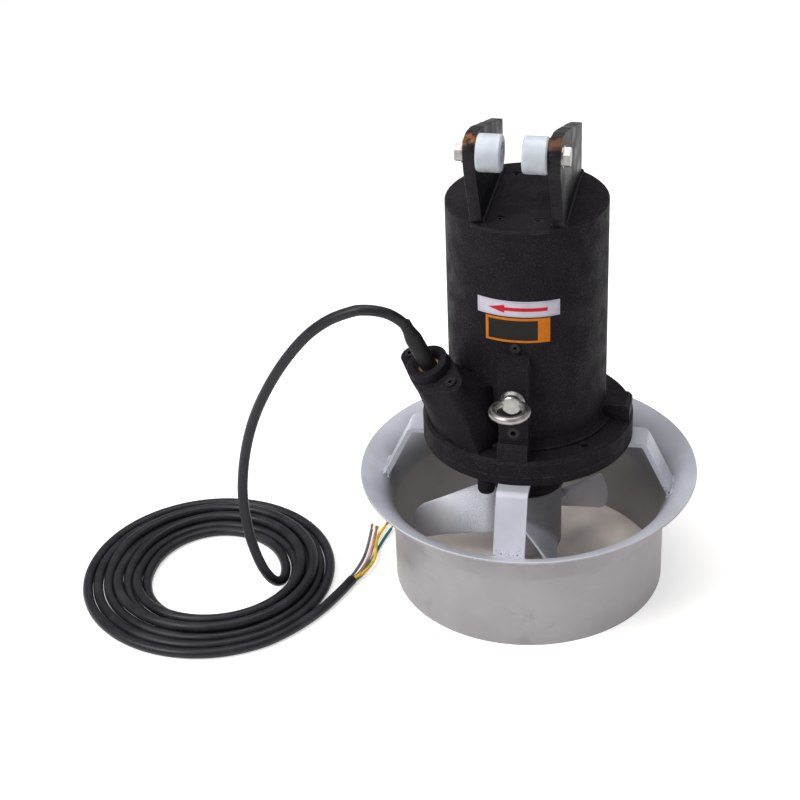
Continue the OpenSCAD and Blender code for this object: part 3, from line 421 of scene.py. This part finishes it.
strut_turns, leg_half, bead_half = (1, 91, 181, 271), 0.0028, 0.0175
weld_paint, tree, plugs = coating("weld_finish", (0.5, 0.505, 0.53), 0.45, 0.25)
spots = use(tree, mottle, Size=90.0, Fine=900.0)
bead_paint = blend(tree, spots["Clouds"], 0.35, 0.7, (0.42, 0.42, 0.435, 1), (0.66, 0.665, 0.69, 1))
tree.links.new(blend(tree, spots["Specks"], 0.6, 0.68, bead_paint, (0.06, 0.045, 0.035, 1)),
               plugs["Base Color"])
bump(tree, plugs, spots["Specks"], 0.4, 0.0006)
beads = [foot_line(turn, face, bead_half, 11 + 7 * i + j) for i, turn in enumerate(strut_turns)
         for j, face in enumerate((-leg_half, leg_half))]
add_mesh("strut_welds", *gather(beads), weld_paint)

# The strut bolts, the flange screws and the other blackened fasteners: rolled steel dipped black,
# rubbed bright where a spanner has been.
dark_steel, tree, plugs = coating("black_fastener", (0.014, 0.012, 0.014), 0.45,
                                  Specular_IOR_Level=0.3)
spots = use(tree, mottle, Size=260.0, Fine=2400.0)
rubbed = use(tree, edge_wear, Width=0.0006, Patches=420.0, Amount=0.8)
tree.links.new(tint(tree, rubbed["Mask"], (0.0115, 0.0095, 0.012, 1), (0.16, 0.15, 0.145, 1)),
               plugs["Base Color"])
tree.links.new(fade(tree, spots["Clouds"], 0.3, 0.7, 0.34, 0.55), plugs["Roughness"])
bump(tree, plugs, spots["Specks"], 0.15, 0.0002)
dress(dark_steel, "strut_bolts", "flange_screws", "oil_plug", "vent_plug", "cap_screws",
      "gland_screws")


# Propeller
# Three twisted, swept blades cast in one piece with their hub and left as cast, with a sandy skin;
# painted shade darkens it round the hub and painted light makes it pale toward the tips; a key, a
# washer and a nut hold it.
hub_r, hub_low, hub_high, shaft_r = 0.036, 0.026, 0.110, 0.0126
nose_r, nose_top, hub_round = 0.030, 0.036, 0.0022
tip_r, first_blade = 0.130, 168
tip_light_from, tip_light_to, hub_shade_from, hub_shade_to = 0.06, 0.112, 0.05, 0.0365


def blade(turn, rows=46, points=56):
    """A blade: at each radius an arched ellipse laid round the axis. Its tilt grows evenly from
    hub to tip and its middle falls as evenly; the chord is a quadratic of the radius, rounded off
    like an ellipse at the tip."""
    root_r, round_off, tip_cut = 0.0245, 0.014, 0.95
    root_chord, mid_chord, tip_chord = 0.072, 0.048, 0.049
    root_thick, tip_thick, arch_share = 0.009, 0.0035, 0.05
    root_tilt, tip_tilt, sweep = 33, 100, np.radians(10)
    root_height, fall = 0.073, 0.040
    rounding = 1 - np.sin(np.linspace(0, np.pi / 2, 15)[1:])
    r = np.concatenate([np.linspace(root_r, tip_r - round_off, rows),
                        tip_r - round_off * rounding])[:, None]
    t = (r - hub_r) / (tip_r - hub_r)
    past = np.maximum(0, (r - tip_r + round_off) / round_off)
    chord = (root_chord * (1 - t) * (1 - 2 * t) + 4 * mid_chord * t * (1 - t)
             + tip_chord * t * (2 * t - 1))
    half = chord * np.sqrt(1 - tip_cut * past ** 2) / 2
    thick = root_thick + (tip_thick - root_thick) * t
    tilt = np.radians(root_tilt + (tip_tilt - root_tilt) * t)
    lag = np.tan(sweep) * np.maximum(0, r - hub_r)
    a = np.linspace(0, 2 * np.pi, points, endpoint=False)[None]
    s = half * np.cos(a)
    n = thick / 2 * np.sin(a) + arch_share * 2 * half * np.sin(a) ** 2
    angle = np.radians(turn) + (lag - s * np.cos(tilt) + n * np.sin(tilt)) / r
    height = root_height - fall * t + s * np.sin(tilt) + n * np.cos(tilt)
    rings = np.stack([r * np.cos(angle), r * np.sin(angle), height], -1)
    middle = rings.mean(1, keepdims=True)
    closed = np.concatenate([np.repeat(middle[:1], points, 1), rings,
                             np.repeat(middle[-1:], points, 1)])
    return closed, grid_faces(len(closed), points)[:, ::-1]


def turned(profile, steps=96):
    """A turned piece: a profile of radius and height carried round the axis."""
    a = np.linspace(0, 2 * np.pi, steps, endpoint=False)
    profile = np.asarray(profile, float)
    rings = np.stack([profile[:, :1] * np.cos(a), profile[:, :1] * np.sin(a),
                      np.repeat(profile[:, 1:], steps, 1)], -1)
    return rings, grid_faces(len(profile), steps)


def rounded(points, radius, steps=5):
    """A profile with its inner corners rounded: each is replaced by a quadratic curve that starts
    and ends one radius away from it along its two sides."""
    p = np.asarray(points, float)
    before, after = unit(p[:-2] - p[1:-1]), unit(p[2:] - p[1:-1])
    t = np.linspace(0, 1, steps)[None, :, None]
    a, b, c = ((p[1:-1] + radius * side)[:, None] for side in (before, 0 * before, after))
    curves = (1 - t) ** 2 * a + 2 * t * (1 - t) * b + t ** 2 * c
    return np.concatenate([p[:1], curves.reshape(-1, 2), p[-1:]])


cast_steel, tree, plugs = coating("cast_propeller_finish", (0.5, 0.5, 0.54), 0.58, 0.15)
spots = use(tree, mottle, Size=34.0, Fine=760.0)
polished = use(tree, edge_wear, Width=0.002, Patches=90.0, Amount=0.8)
far = axis_distance(tree)[0]
sandy = blend(tree, spots["Specks"], 0.3, 0.7, (0.5, 0.503, 0.56, 1), (0.68, 0.685, 0.76, 1))
stains = calc(tree, "MULTIPLY", fade(tree, spots["Clouds"], 0.55, 0.75), 0.5)
sandy = tint(tree, stains, sandy, (0.33, 0.325, 0.345, 1))
# Painted light: the colour turns pale toward the blade tips, a painted highlight on faces that turn
# away from the lamps.
painted_tip_light = fade(tree, far, tip_light_from, tip_light_to, 0.0, 0.9)
# Painted shade: the colour darkens round the hub, where it sits in shade under the motor and among
# the blades.
rubber_gloss_and_hub_shade = fade(tree, far, hub_shade_from, hub_shade_to, 0.0, 0.8)
sandy = tint(tree, painted_tip_light, sandy, (0.92, 0.925, 0.98, 1))
sandy = tint(tree, rubber_gloss_and_hub_shade, sandy, (0.2, 0.195, 0.2, 1))
tree.links.new(tint(tree, polished["Mask"], sandy, (0.66, 0.66, 0.68, 1)), plugs["Base Color"])
tree.links.new(fade(tree, spots["Clouds"], 0.3, 0.7, 0.46, 0.66), plugs["Roughness"])
bump(tree, plugs, spots["Specks"], 0.45, 0.0007)
hub = turned(rounded([(shaft_r, hub_low), (nose_r, hub_low), (hub_r, nose_top), (hub_r, hub_high),
                      (shaft_r, hub_high), (shaft_r, hub_low + 0.0002)], hub_round))
blades = [blade(first_blade + 120 * k) for k in range(3)]
propeller = add_mesh("propeller_cast", *gather([hub] + blades), cast_steel, "shaft_set")
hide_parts("propeller")

# The bright pieces on the shaft, the guide and the lifting eye: turned or forged steel, dulled a
# little in patches.
bright_steel, tree, plugs = coating("bright_steel", (0.28, 0.27, 0.26), 0.3, 1.0)
spots = use(tree, mottle, Size=150.0, Fine=1500.0)
tree.links.new(blend(tree, spots["Clouds"], 0.3, 0.7, (0.3, 0.285, 0.275, 1),
                     (0.44, 0.425, 0.41, 1)), plugs["Base Color"])
tree.links.new(fade(tree, spots["Clouds"], 0.25, 0.75, 0.3, 0.44), plugs["Roughness"])
bump(tree, plugs, spots["Specks"], 0.12, 0.0002)
dress(bright_steel, "propeller_washer", "propeller_nut", "propeller_key", "motor_shaft",
      "roller_bolts", "roller_washers", "roller_nuts", "lifting_eye", "bearing_outer_rings",
      "bearing_inner_rings", "bearing_balls", "seal_spring", "seal_collar")


# Motor
# Sand-cast iron casing and seal housing under one coat of black paint: a fine pebbled skin,
# dusty on top, rubbed grey along its edges.
pebbles, given, gives = group("pebbles", {"Size": 420.0}, ("Height", "Dull"))
place = here(pebbles)
lumps = put(pebbles, "ShaderNodeTexVoronoi", {"feature": "SMOOTH_F1"}, Vector=place,
            Scale=given["Size"]).outputs["Distance"]
grains = noise(pebbles, calc(pebbles, "MULTIPLY", given["Size"], 1.7), 4.0, 0.6, place)
swell = noise(pebbles, calc(pebbles, "MULTIPLY", given["Size"], 0.12), 3.0, 0.55, place)
coarse = calc(pebbles, "ADD", calc(pebbles, "MULTIPLY", lumps, 0.4),
              calc(pebbles, "MULTIPLY", swell, 0.8))
pebbles.links.new(calc(pebbles, "ADD", calc(pebbles, "MULTIPLY", grains, 0.6), coarse),
                  gives["Height"])
pebbles.links.new(swell, gives["Dull"])


def black_paint(name, size, wear, low=0.0, high=1.0):
    """Black paint over cast iron: pebbled, cloudy in its gloss, dusty where it faces up, grey on
    the edges that are worn between two heights."""
    edge_blur = 0.001
    made, tree, plugs = coating(name, (0.012, 0.0097, 0.013), 0.6, Specular_IOR_Level=0.09)
    skin = use(tree, pebbles, Size=size)
    spots = use(tree, mottle, Size=16.0, Fine=700.0)
    rim = use(tree, edge_wear, Width=0.0016, Patches=140.0, Amount=wear)
    up = parts(tree, put(tree, "ShaderNodeNewGeometry").outputs["Normal"])[2]
    dust = calc(tree, "MULTIPLY", fade(tree, up, 0.2, 1.0, 0.1, 0.22),
                fade(tree, spots["Clouds"], 0.35, 0.75))
    paint = tint(tree, dust, (0.0115, 0.0092, 0.0125, 1), (0.04, 0.036, 0.039, 1))
    # Painted highlights: fine lighter specks in the colour stand in for glints on the pebbled
    # grain.
    painted_glints = fade(tree, spots["Specks"], 0.5, 0.76, 0.0, 0.4)
    paint = tint(tree, painted_glints, paint, (0.07, 0.062, 0.066, 1))
    height = parts(tree, here(tree))[2]
    band = calc(tree, "MULTIPLY", fade(tree, height, low - edge_blur, low),
                fade(tree, height, high + edge_blur, high))
    bare = calc(tree, "MULTIPLY", rim["Mask"], band)
    tree.links.new(tint(tree, bare, paint, (0.12, 0.112, 0.112, 1)), plugs["Base Color"])
    tree.links.new(fade(tree, skin["Dull"], 0.3, 0.7, 0.48, 0.7), plugs["Roughness"])
    bump(tree, plugs, skin["Height"], 0.65, 0.0016)
    return made


casing_paint = black_paint("casing_paint", size=420.0, wear=0.5, high=0.428)
dress(casing_paint, "motor_casing", "seal_housing", "drain_plug")
cap_paint = black_paint("cap_paint", size=420.0, wear=1.0, low=0.44)
dress(cap_paint, "rear_cap")

# Inside: the stacked sheets of the stator and the rotor, the copper winding and the seal's hard
# faces.
inner_steel, tree, plugs = coating("sheet_stack", (0.3, 0.3, 0.31), 0.4, 0.9)
leaves = use(tree, rubs, Along=1.0, Across=2000.0, Cut=0.5)
tree.links.new(tint(tree, leaves["Mask"], (0.22, 0.22, 0.23, 1), (0.42, 0.42, 0.43, 1)),
               plugs["Base Color"])
dress(inner_steel, "stator_core", "rotor")
winding_copper, tree, plugs = coating("winding_copper", (0.6, 0.3, 0.14), 0.35, 0.9)
strands = use(tree, rubs, Along=3.0, Across=1400.0, Cut=0.52)
tree.links.new(tint(tree, strands["Mask"], (0.42, 0.17, 0.07, 1), (0.75, 0.4, 0.2, 1)),
               plugs["Base Color"])
dress(winding_copper, "stator_winding")
seal_face, tree, plugs = coating("seal_faces", (0.09, 0.09, 0.1), 0.2)
spots = use(tree, mottle, Size=300.0, Fine=2500.0)
tree.links.new(tint(tree, spots["Clouds"], (0.06, 0.06, 0.065, 1), (0.13, 0.13, 0.14, 1)),
               plugs["Base Color"])
dress(seal_face, "seal_seat", "seal_ring")


# Plates on the casing
# Two stickers on the front: a white one with a red arrow for the direction of turning, and a
# plain orange one with a black panel. Printed film, laid round the casing.
def wrapped(middle, left, right, low, high, inner, outer, steps=60):
    """A thin plate laid round the casing: its section, as tall as the local low and high edges,
    is carried along the angle from left to right about a middle; both ends are closed."""
    share = np.linspace(0, 1, steps)
    angle = np.radians(middle + left + (right - left) * share)[:, None]
    radius = np.array([inner, outer, outer, inner])
    bottom, top = low(share), high(share)
    height = np.stack([bottom, bottom, top, top], -1)
    ring = np.stack([radius * np.cos(angle), radius * np.sin(angle), height], -1)
    last = (steps - 1) * 4
    ends = np.array([[0, 1, 2, 3], [last + 3, last + 2, last + 1, last]])
    return ring, np.concatenate([grid_faces(steps, 4)[:, ::-1], ends])


def film(name, colour, second, roughness):
    """Printed film: a colour that has gone a little uneven, with fine scuffs in its gloss."""
    made, tree, plugs = coating(name, colour, roughness, Specular_IOR_Level=0.2)
    spots = use(tree, mottle, Size=60.0, Fine=1800.0)
    tree.links.new(blend(tree, spots["Clouds"], 0.35, 0.75, (*colour, 1), (*second, 1)),
                   plugs["Base Color"])
    scuffs = fade(tree, spots["Specks"], 0.3, 0.7, roughness - 0.06, roughness + 0.12)
    tree.links.new(scuffs, plugs["Roughness"])
    bump(tree, plugs, spots["Clouds"], 0.1, 0.0004)
    return made


def level(height):
    """A straight edge at one height."""
    return lambda share: np.full_like(share, height)


white_film = film("white_film", (0.66, 0.63, 0.72), (0.56, 0.54, 0.62), 0.35)
red_film = film("red_film", (0.62, 0.010, 0.024), (0.53, 0.009, 0.02), 0.38)
lilac_film = film("lilac_film", (0.45, 0.36, 0.5), (0.4, 0.32, 0.45), 0.4)
orange_film = film("orange_film", (0.68, 0.19, 0.006), (0.6, 0.16, 0.006), 0.42)
panel_film = film("panel_film", (0.010, 0.008, 0.008), (0.016, 0.013, 0.012), 0.45)
casing_r = 0.0815
film_top, print_top = casing_r + 0.0003, casing_r + 0.0005

arrow_turn, white_half, white_low, white_high = -88.3, 29.6, 0.3545, 0.3716
add_mesh("arrow_plate", *wrapped(arrow_turn, -white_half, white_half, level(white_low),
                                 level(white_high), casing_r, film_top), white_film)
arrow_tip, arrow_end, arrow_height = -21.1, 20.7, 0.3628
head_share, head_half, stem_half = 0.285, 0.0044, 0.0019


def arrow_half(share):
    """Half the arrow's height: it grows evenly over the head and stays level along the stem."""
    return np.where(share < head_share, head_half * share / head_share, stem_half)


add_mesh("arrow", *wrapped(arrow_turn, arrow_tip, arrow_end,
                           lambda share: arrow_height - arrow_half(share),
                           lambda share: arrow_height + arrow_half(share), film_top, print_top,
                           240), red_film)
line_low, line_high, line_wide, line_end, line_turn = 0.3556, 0.3705, 0.0003, 28.3, 0.2
frame_edges = [(-line_end, line_end, line_low, line_low + line_wide, 60),
               (-line_end, line_end, line_high - line_wide, line_high, 60),
               (-line_end - line_turn, -line_end, line_low, line_high, 3),
               (line_end, line_end + line_turn, line_low, line_high, 3)]
frame_lines = [wrapped(arrow_turn, left, right, level(low), level(high), film_top, print_top, steps)
               for left, right, low, high, steps in frame_edges]
add_mesh("arrow_frame", *gather(frame_lines), lilac_film)

orange_turn, orange_half, orange_low, orange_high = -88.6, 22.9, 0.326, 0.353
panel_left, panel_right, panel_low, panel_high = -20.7, 14.2, 0.3285, 0.3503
add_mesh("orange_plate", *wrapped(orange_turn, -orange_half, orange_half, level(orange_low),
                                  level(orange_high), casing_r, film_top), orange_film)
add_mesh("orange_plate_panel", *wrapped(orange_turn, panel_left, panel_right, level(panel_low),
                                        level(panel_high), film_top, print_top), panel_film)


# Guide
# Two flame-cut ears welded to the rear cap under the same black paint, which has flaked to rust
# at their noses; white nylon rollers turn on bright bolts between them.
cap_top, ear_inner, ear_outer = 0.446, 0.034, 0.046
nose_y, nose_z, rust_core, rust_reach = -0.088, 0.546, 0.006, 0.013
ear_paint, tree, plugs = coating("ear_paint", (0.011, 0.009, 0.012), 0.5, Specular_IOR_Level=0.18)
skin = use(tree, pebbles, Size=330.0)
spots = use(tree, mottle, Size=70.0, Fine=600.0)
rim = use(tree, edge_wear, Width=0.002, Patches=130.0, Amount=0.9)
x, y, z = parts(tree, here(tree))
from_nose = span(tree, calc(tree, "ADD", y, -nose_y), calc(tree, "SUBTRACT", z, nose_z))
nose = calc(tree, "MULTIPLY", fade(tree, from_nose, rust_reach, rust_core),
            fade(tree, x, 0.0, 0.01, 1.0, 0.45))
rust = calc(tree, "MULTIPLY", nose, fade(tree, spots["Clouds"], 0.42, 0.56))
paint = tint(tree, rim["Mask"], (0.011, 0.009, 0.012, 1), (0.09, 0.086, 0.086, 1))
tree.links.new(tint(tree, calc(tree, "MULTIPLY", rust, 0.8), paint, (0.3, 0.11, 0.03, 1)),
               plugs["Base Color"])
tree.links.new(fade(tree, skin["Dull"], 0.3, 0.7, 0.36, 0.58), plugs["Roughness"])
bump(tree, plugs, skin["Height"], 0.45, 0.0014)


def threaded(points, steps):
    """A smooth path through points: between two of them a cubic that leaves and meets each point
    in the direction from its neighbour before to its neighbour after."""
    p = np.concatenate([2 * points[:1] - points[1:2], points, 2 * points[-1:] - points[-2:-1]])
    t = np.linspace(0, 1, steps, endpoint=False)[None, :, None]
    a, b, c, d = (p[i:len(p) - 3 + i, None] for i in range(4))
    curve = 0.5 * (2 * b + (c - a) * t + (2 * a - 5 * b + 4 * c - d) * t ** 2
                   + (3 * b - 3 * c + d - a) * t ** 3)
    return np.concatenate([curve.reshape(-1, points.shape[1]), points[-1:]])


def ear(inner, outer, seed):
    """A flame-cut ear: its side view, a smooth line through corner points with small waves along
    the cut, is carried across the plate's thickness and drawn in a little at both faces; the
    faces close in a point."""
    half, heel, tail, middle = 65.8, 52.5, (58, 55.5), (-0.015, 0.045)
    wave_height, edge, corner = 0.00016, 0.0003, 0.0012
    front = threaded(np.array([(-half, 0), (-74, 20), (-84, 42), (-94, 63), (-98.5, 79),
                               (-99.5, 90), (-95, 97.5), (-86, 100.5), (-74, 99.5), (-50, 94),
                               (-22, 84), (24, 68), tail]), 14)
    outline = np.concatenate([front, np.linspace(tail, (half, heel), 6)[1:],
                              np.linspace((half, heel), (half, 0), 24)[1:],
                              np.linspace((half, 0), (-half, 0), 60)[1:-1]]) / 1000
    rng = np.random.default_rng(seed)
    step = np.linspace(0, 2 * np.pi, len(outline), endpoint=False)
    wave = sum(rng.uniform(0.4, 1) * np.sin(k * step + rng.uniform(0, 6))
               for k in (5, 9, 14, 23, 37)) * wave_height
    ahead = np.roll(outline, -1, 0) - np.roll(outline, 1, 0)
    away = unit(np.stack([-ahead[:, 1], ahead[:, 0]], -1))
    across = np.array([inner, inner, inner + edge, inner + corner,
                       outer - corner, outer - edge, outer, outer])
    drawn_in = np.array([0, 0.0013, 0.0004, 0, 0, 0.0004, 0.0013, 0])
    side = outline[None] + (wave[None] - drawn_in[:, None])[..., None] * away[None]
    side[[0, -1]] = np.array(middle)
    rings = np.stack([np.broadcast_to(across[:, None], side.shape[:2]), side[..., 0],
                      cap_top + side[..., 1]], -1)
    return rings, grid_faces(len(across), len(outline))[:, ::-1]


for name, low, high, seed in (("guide_ear_left", -ear_outer, -ear_inner, 5),
                              ("guide_ear_right", ear_inner, ear_outer, 6)):
    cut_ear = add_mesh(name + "_cut", *ear(low, high, seed), ear_paint)
    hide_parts(name)


def ear_bead(x, seed):
    """A bead along an ear's foot, half sunk in the corner between the ear and the cap."""
    length, bead_r, pitch, rise = 0.13, 0.0026, 0.0042, 0.0003
    along, radius = beaded(length, bead_r, seed, pitch)
    path = np.stack([np.full_like(along, x), along - length / 2,
                     np.full_like(along, cap_top + rise)], -1)
    return tube(path, radius, (0, 0, 1), 10)


bead_out = 0.0064
ear_beads = [ear_bead(side * ((ear_inner + ear_outer) / 2 + out * bead_out), 71 + 9 * i)
             for i, (side, out) in enumerate(((-1, -1), (-1, 1), (1, -1), (1, 1)))]
add_mesh("ear_welds", *gather(ear_beads), ear_paint)

nylon, tree, plugs = coating("white_nylon", (0.72, 0.75, 0.77), 0.38, Subsurface_Weight=0.25,
                             Subsurface_Radius=(0.006, 0.007, 0.008), Subsurface_Scale=0.6)
spots = use(tree, mottle, Size=80.0, Fine=1400.0)
tool_marks = put(tree, "ShaderNodeTexNoise", {"noise_dimensions": "1D"},
                 W=parts(tree, here(tree))[0], Scale=2600.0, Detail=1.0).outputs[0]
tree.links.new(blend(tree, spots["Clouds"], 0.35, 0.7, (0.5, 0.54, 0.6, 1), (0.6, 0.635, 0.67, 1)),
               plugs["Base Color"])
bump(tree, plugs, tool_marks, 0.12, 0.0003)
dress(nylon, "roller_left", "roller_right")


# Gland
# A cast two-screw plate clamps a rubber bush and a brass ring round the cable; a shrink sleeve
# protects the cable where it leaves.
gland_paint = black_paint("gland_paint", size=520.0, wear=0.35)
dress(gland_paint, "gland_plate")
brass, tree, plugs = coating("gland_brass", (0.55, 0.36, 0.13), 0.3, 0.9)
spots = use(tree, mottle, Size=200.0, Fine=1800.0)
tree.links.new(blend(tree, spots["Clouds"], 0.3, 0.7, (0.42, 0.26, 0.09, 1), (0.66, 0.45, 0.18, 1)),
               plugs["Base Color"])
dress(brass, "gland_ring")


def rubber(name, colour, roughness, fine):
    """Soft insulation or rubber: a matt skin with fine grain and a paler bloom in patches."""
    made, tree, plugs = coating(name, colour, roughness, Specular_IOR_Level=0.3)
    spots = use(tree, mottle, Size=40.0, Fine=fine)
    bloom = tuple(2.1 * c for c in colour)
    tree.links.new(blend(tree, spots["Clouds"], 0.4, 0.75, (*colour, 1), (*bloom, 1)),
                   plugs["Base Color"])
    rubber_gloss_and_hub_shade = fade(tree, spots["Clouds"], 0.3, 0.7, roughness - 0.08, roughness + 0.08)
    tree.links.new(rubber_gloss_and_hub_shade, plugs["Roughness"])
    bump(tree, plugs, spots["Specks"], 0.25, 0.0004)
    return made


sleeve_rubber = rubber("sleeve_rubber", (0.0075, 0.0065, 0.0078), 0.55, 900.0)
dress(sleeve_rubber, "cable_sleeve", "gland_bush", "flange_o_ring", "cable_entry")


# Cable
# A round rubber cable with four cores. It stands up out of its sleeve, falls in an arch to the
# floor, lies there in nearly seven turns, two of them partly on top of the others, and ends in
# bare cores.
cable_r = 0.0055
arch = np.array([(-105.9, -105.9, 352.6), (-111, -110.3, 360), (-118.4, -116.1, 367.9),
                 (-128.5, -120.8, 373), (-140.4, -123.3, 374.6), (-152.5, -124, 372.6),
                 (-176, -122.5, 361), (-198, -121, 343), (-218, -118, 319), (-236, -115, 292),
                 (-252, -112, 263), (-265.5, -109, 233), (-276, -106.5, 201), (-283.5, -104, 168),
                 (-287.5, -103, 135), (-286.5, -104, 105), (-281.5, -107.5, 76),
                 (-273.5, -109.3, 50), (-266.5, -106, 31), (-261.2, -97, 17), (-258.5, -83, 8.6),
                 (-259.3, -67, 5.7)]) / 1000

# The coil's radius at each quarter of its turns, from the inside out.
quarter_r = np.array([83, 86, 67.5, 81, 94, 97, 78.5, 88, 100, 105, 89.5, 95, 106.5, 113, 100.5,
                      102, 113, 121, 111.5, 109, 119.5, 129, 122.5, 122, 130.6, 142, 133.5, 135,
                      141.7, 156]) / 1000
dense = threaded(np.stack([90.0 * np.arange(len(quarter_r)), quarter_r], -1), 30)
coil_x, coil_y, coil_start, coil_end, coil_step = -0.341, -0.084, 24.0, 2471.0, 15.0
on_top_turns, touching = ((540, 900), (1260, 1620)), 0.01108
landing, landing_depth = 0.075, 0.06


def coil_radius(turn):
    """The coil's radius at a turn in degrees, counted on through all its rounds."""
    return np.interp(turn, dense[:, 0], dense[:, 1])


turn = np.arange(coil_start, coil_end, coil_step)
round_r = coil_radius(turn)
room = np.minimum(round_r - coil_radius(turn - 360), coil_radius(turn + 360) - round_r)
on_top = np.any([(turn > begin) & (turn < end) for begin, end in on_top_turns], axis=0)
lift = np.where(on_top, np.sqrt(np.maximum(0, touching ** 2 - room ** 2)), 0)
coil = np.stack([coil_x + round_r * np.cos(np.radians(turn)),
                 coil_y + round_r * np.sin(np.radians(turn)), cable_r + lift], -1)
tail = np.array([(-234, -170, 5.5), (-217, -146, 5.5), (-203, -120, 5.5), (-192.5, -93, 5.5),
                 (-184, -67, 5.5)]) / 1000
route = threaded(np.concatenate([arch, coil, tail]), 8)
down = np.clip((landing - route[:, 2:]) / landing_depth, 0, 1)
side = unit((1 - down) * np.array([0, 1.0, 0]) + down * np.array([0, 0, 1.0]))
cable_rubber = rubber("cable_rubber", (0.0115, 0.0113, 0.0145), 0.42, 1500.0)
cable = add_mesh("cable", *tube(route, cable_r, side, 16), cable_rubber)
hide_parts("cable_arch", "cable_coil", "cable_tail")

# The four cores: soft coloured insulation over fine copper wires, bared at the ends and splayed.
core_r, tuft_depth = 0.00175, 0.001
cores = {
    "core_grey": ((0.12, 0.12, 0.13), (
        (-186, -66.5, 7.5), (-183, -48, 6), (-180.5, -25, 5), (-181, 0, 5), (-183, 28, 6))),
    "core_pink": ((0.42, 0.2, 0.16), (
        (-186, -66.5, 3.2), (-180, -48, 2), (-176, -25, 2), (-176, 0, 2.5), (-178, 27, 4.2))),
    "core_yellow": ((0.72, 0.45, 0.02), (
        (-182, -67.5, 7.5), (-172, -48, 6), (-168, -25, 6), (-172, 3, 6), (-173, 22, 4.5),
        (-170, 40, 4))),
    "core_green": ((0.012, 0.16, 0.13), (
        (-182, -67.5, 3.2), (-175.5, -48, 2), (-172, -25, 2), (-169, 0, 2), (-166, 20, 2.5),
        (-162, 36, 4))),
}
copper, tree, plugs = coating("bare_copper", (0.65, 0.28, 0.13), 0.32, 0.85)
spots = use(tree, mottle, Size=400.0, Fine=3000.0)
tree.links.new(tint(tree, spots["Clouds"], (0.45, 0.17, 0.07, 1), (0.8, 0.42, 0.22, 1)),
               plugs["Base Color"])


def splayed(end, way, seed):
    """Bare wires at a core's end: each starts inside the core and bends outward a little along
    its length."""
    count, length, wire_r, spread = 18, 0.011, 0.0004, 0.0019
    packed, flare, aslant = 0.55, 0.9, (0.3, 0.2, 0.93)
    rng = np.random.default_rng(seed)
    along = np.linspace(0, length, 7)[:, None]
    out = rng.normal(0, 1, (count, 3))
    out -= (out @ way)[:, None] * way
    out = spread * out / np.abs(out).max()
    lean = rng.uniform(0.2, 1.2, count)[:, None]
    return [tube(end + along * way + o * (packed + flare * k * (along / length) ** 2), wire_r,
                 aslant, 5) for o, k in zip(out, lean)]


tufts = []
for number, (name, (colour, points)) in enumerate(cores.items()):
    line = threaded(np.array(points) / 1000, 10)
    jacket = rubber(name + "_jacket", colour, 0.42, 2200.0)
    core = add_mesh(name + "_lead", *tube(line, core_r, (0, 0, 1), 12), jacket)
    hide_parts(name)
    way = unit(line[-1] - line[-3])
    tufts += splayed(line[-1] - tuft_depth * way, way, 31 + number)
strands = add_mesh("core_wires", *gather(tufts), copper)
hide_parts("core_strands")
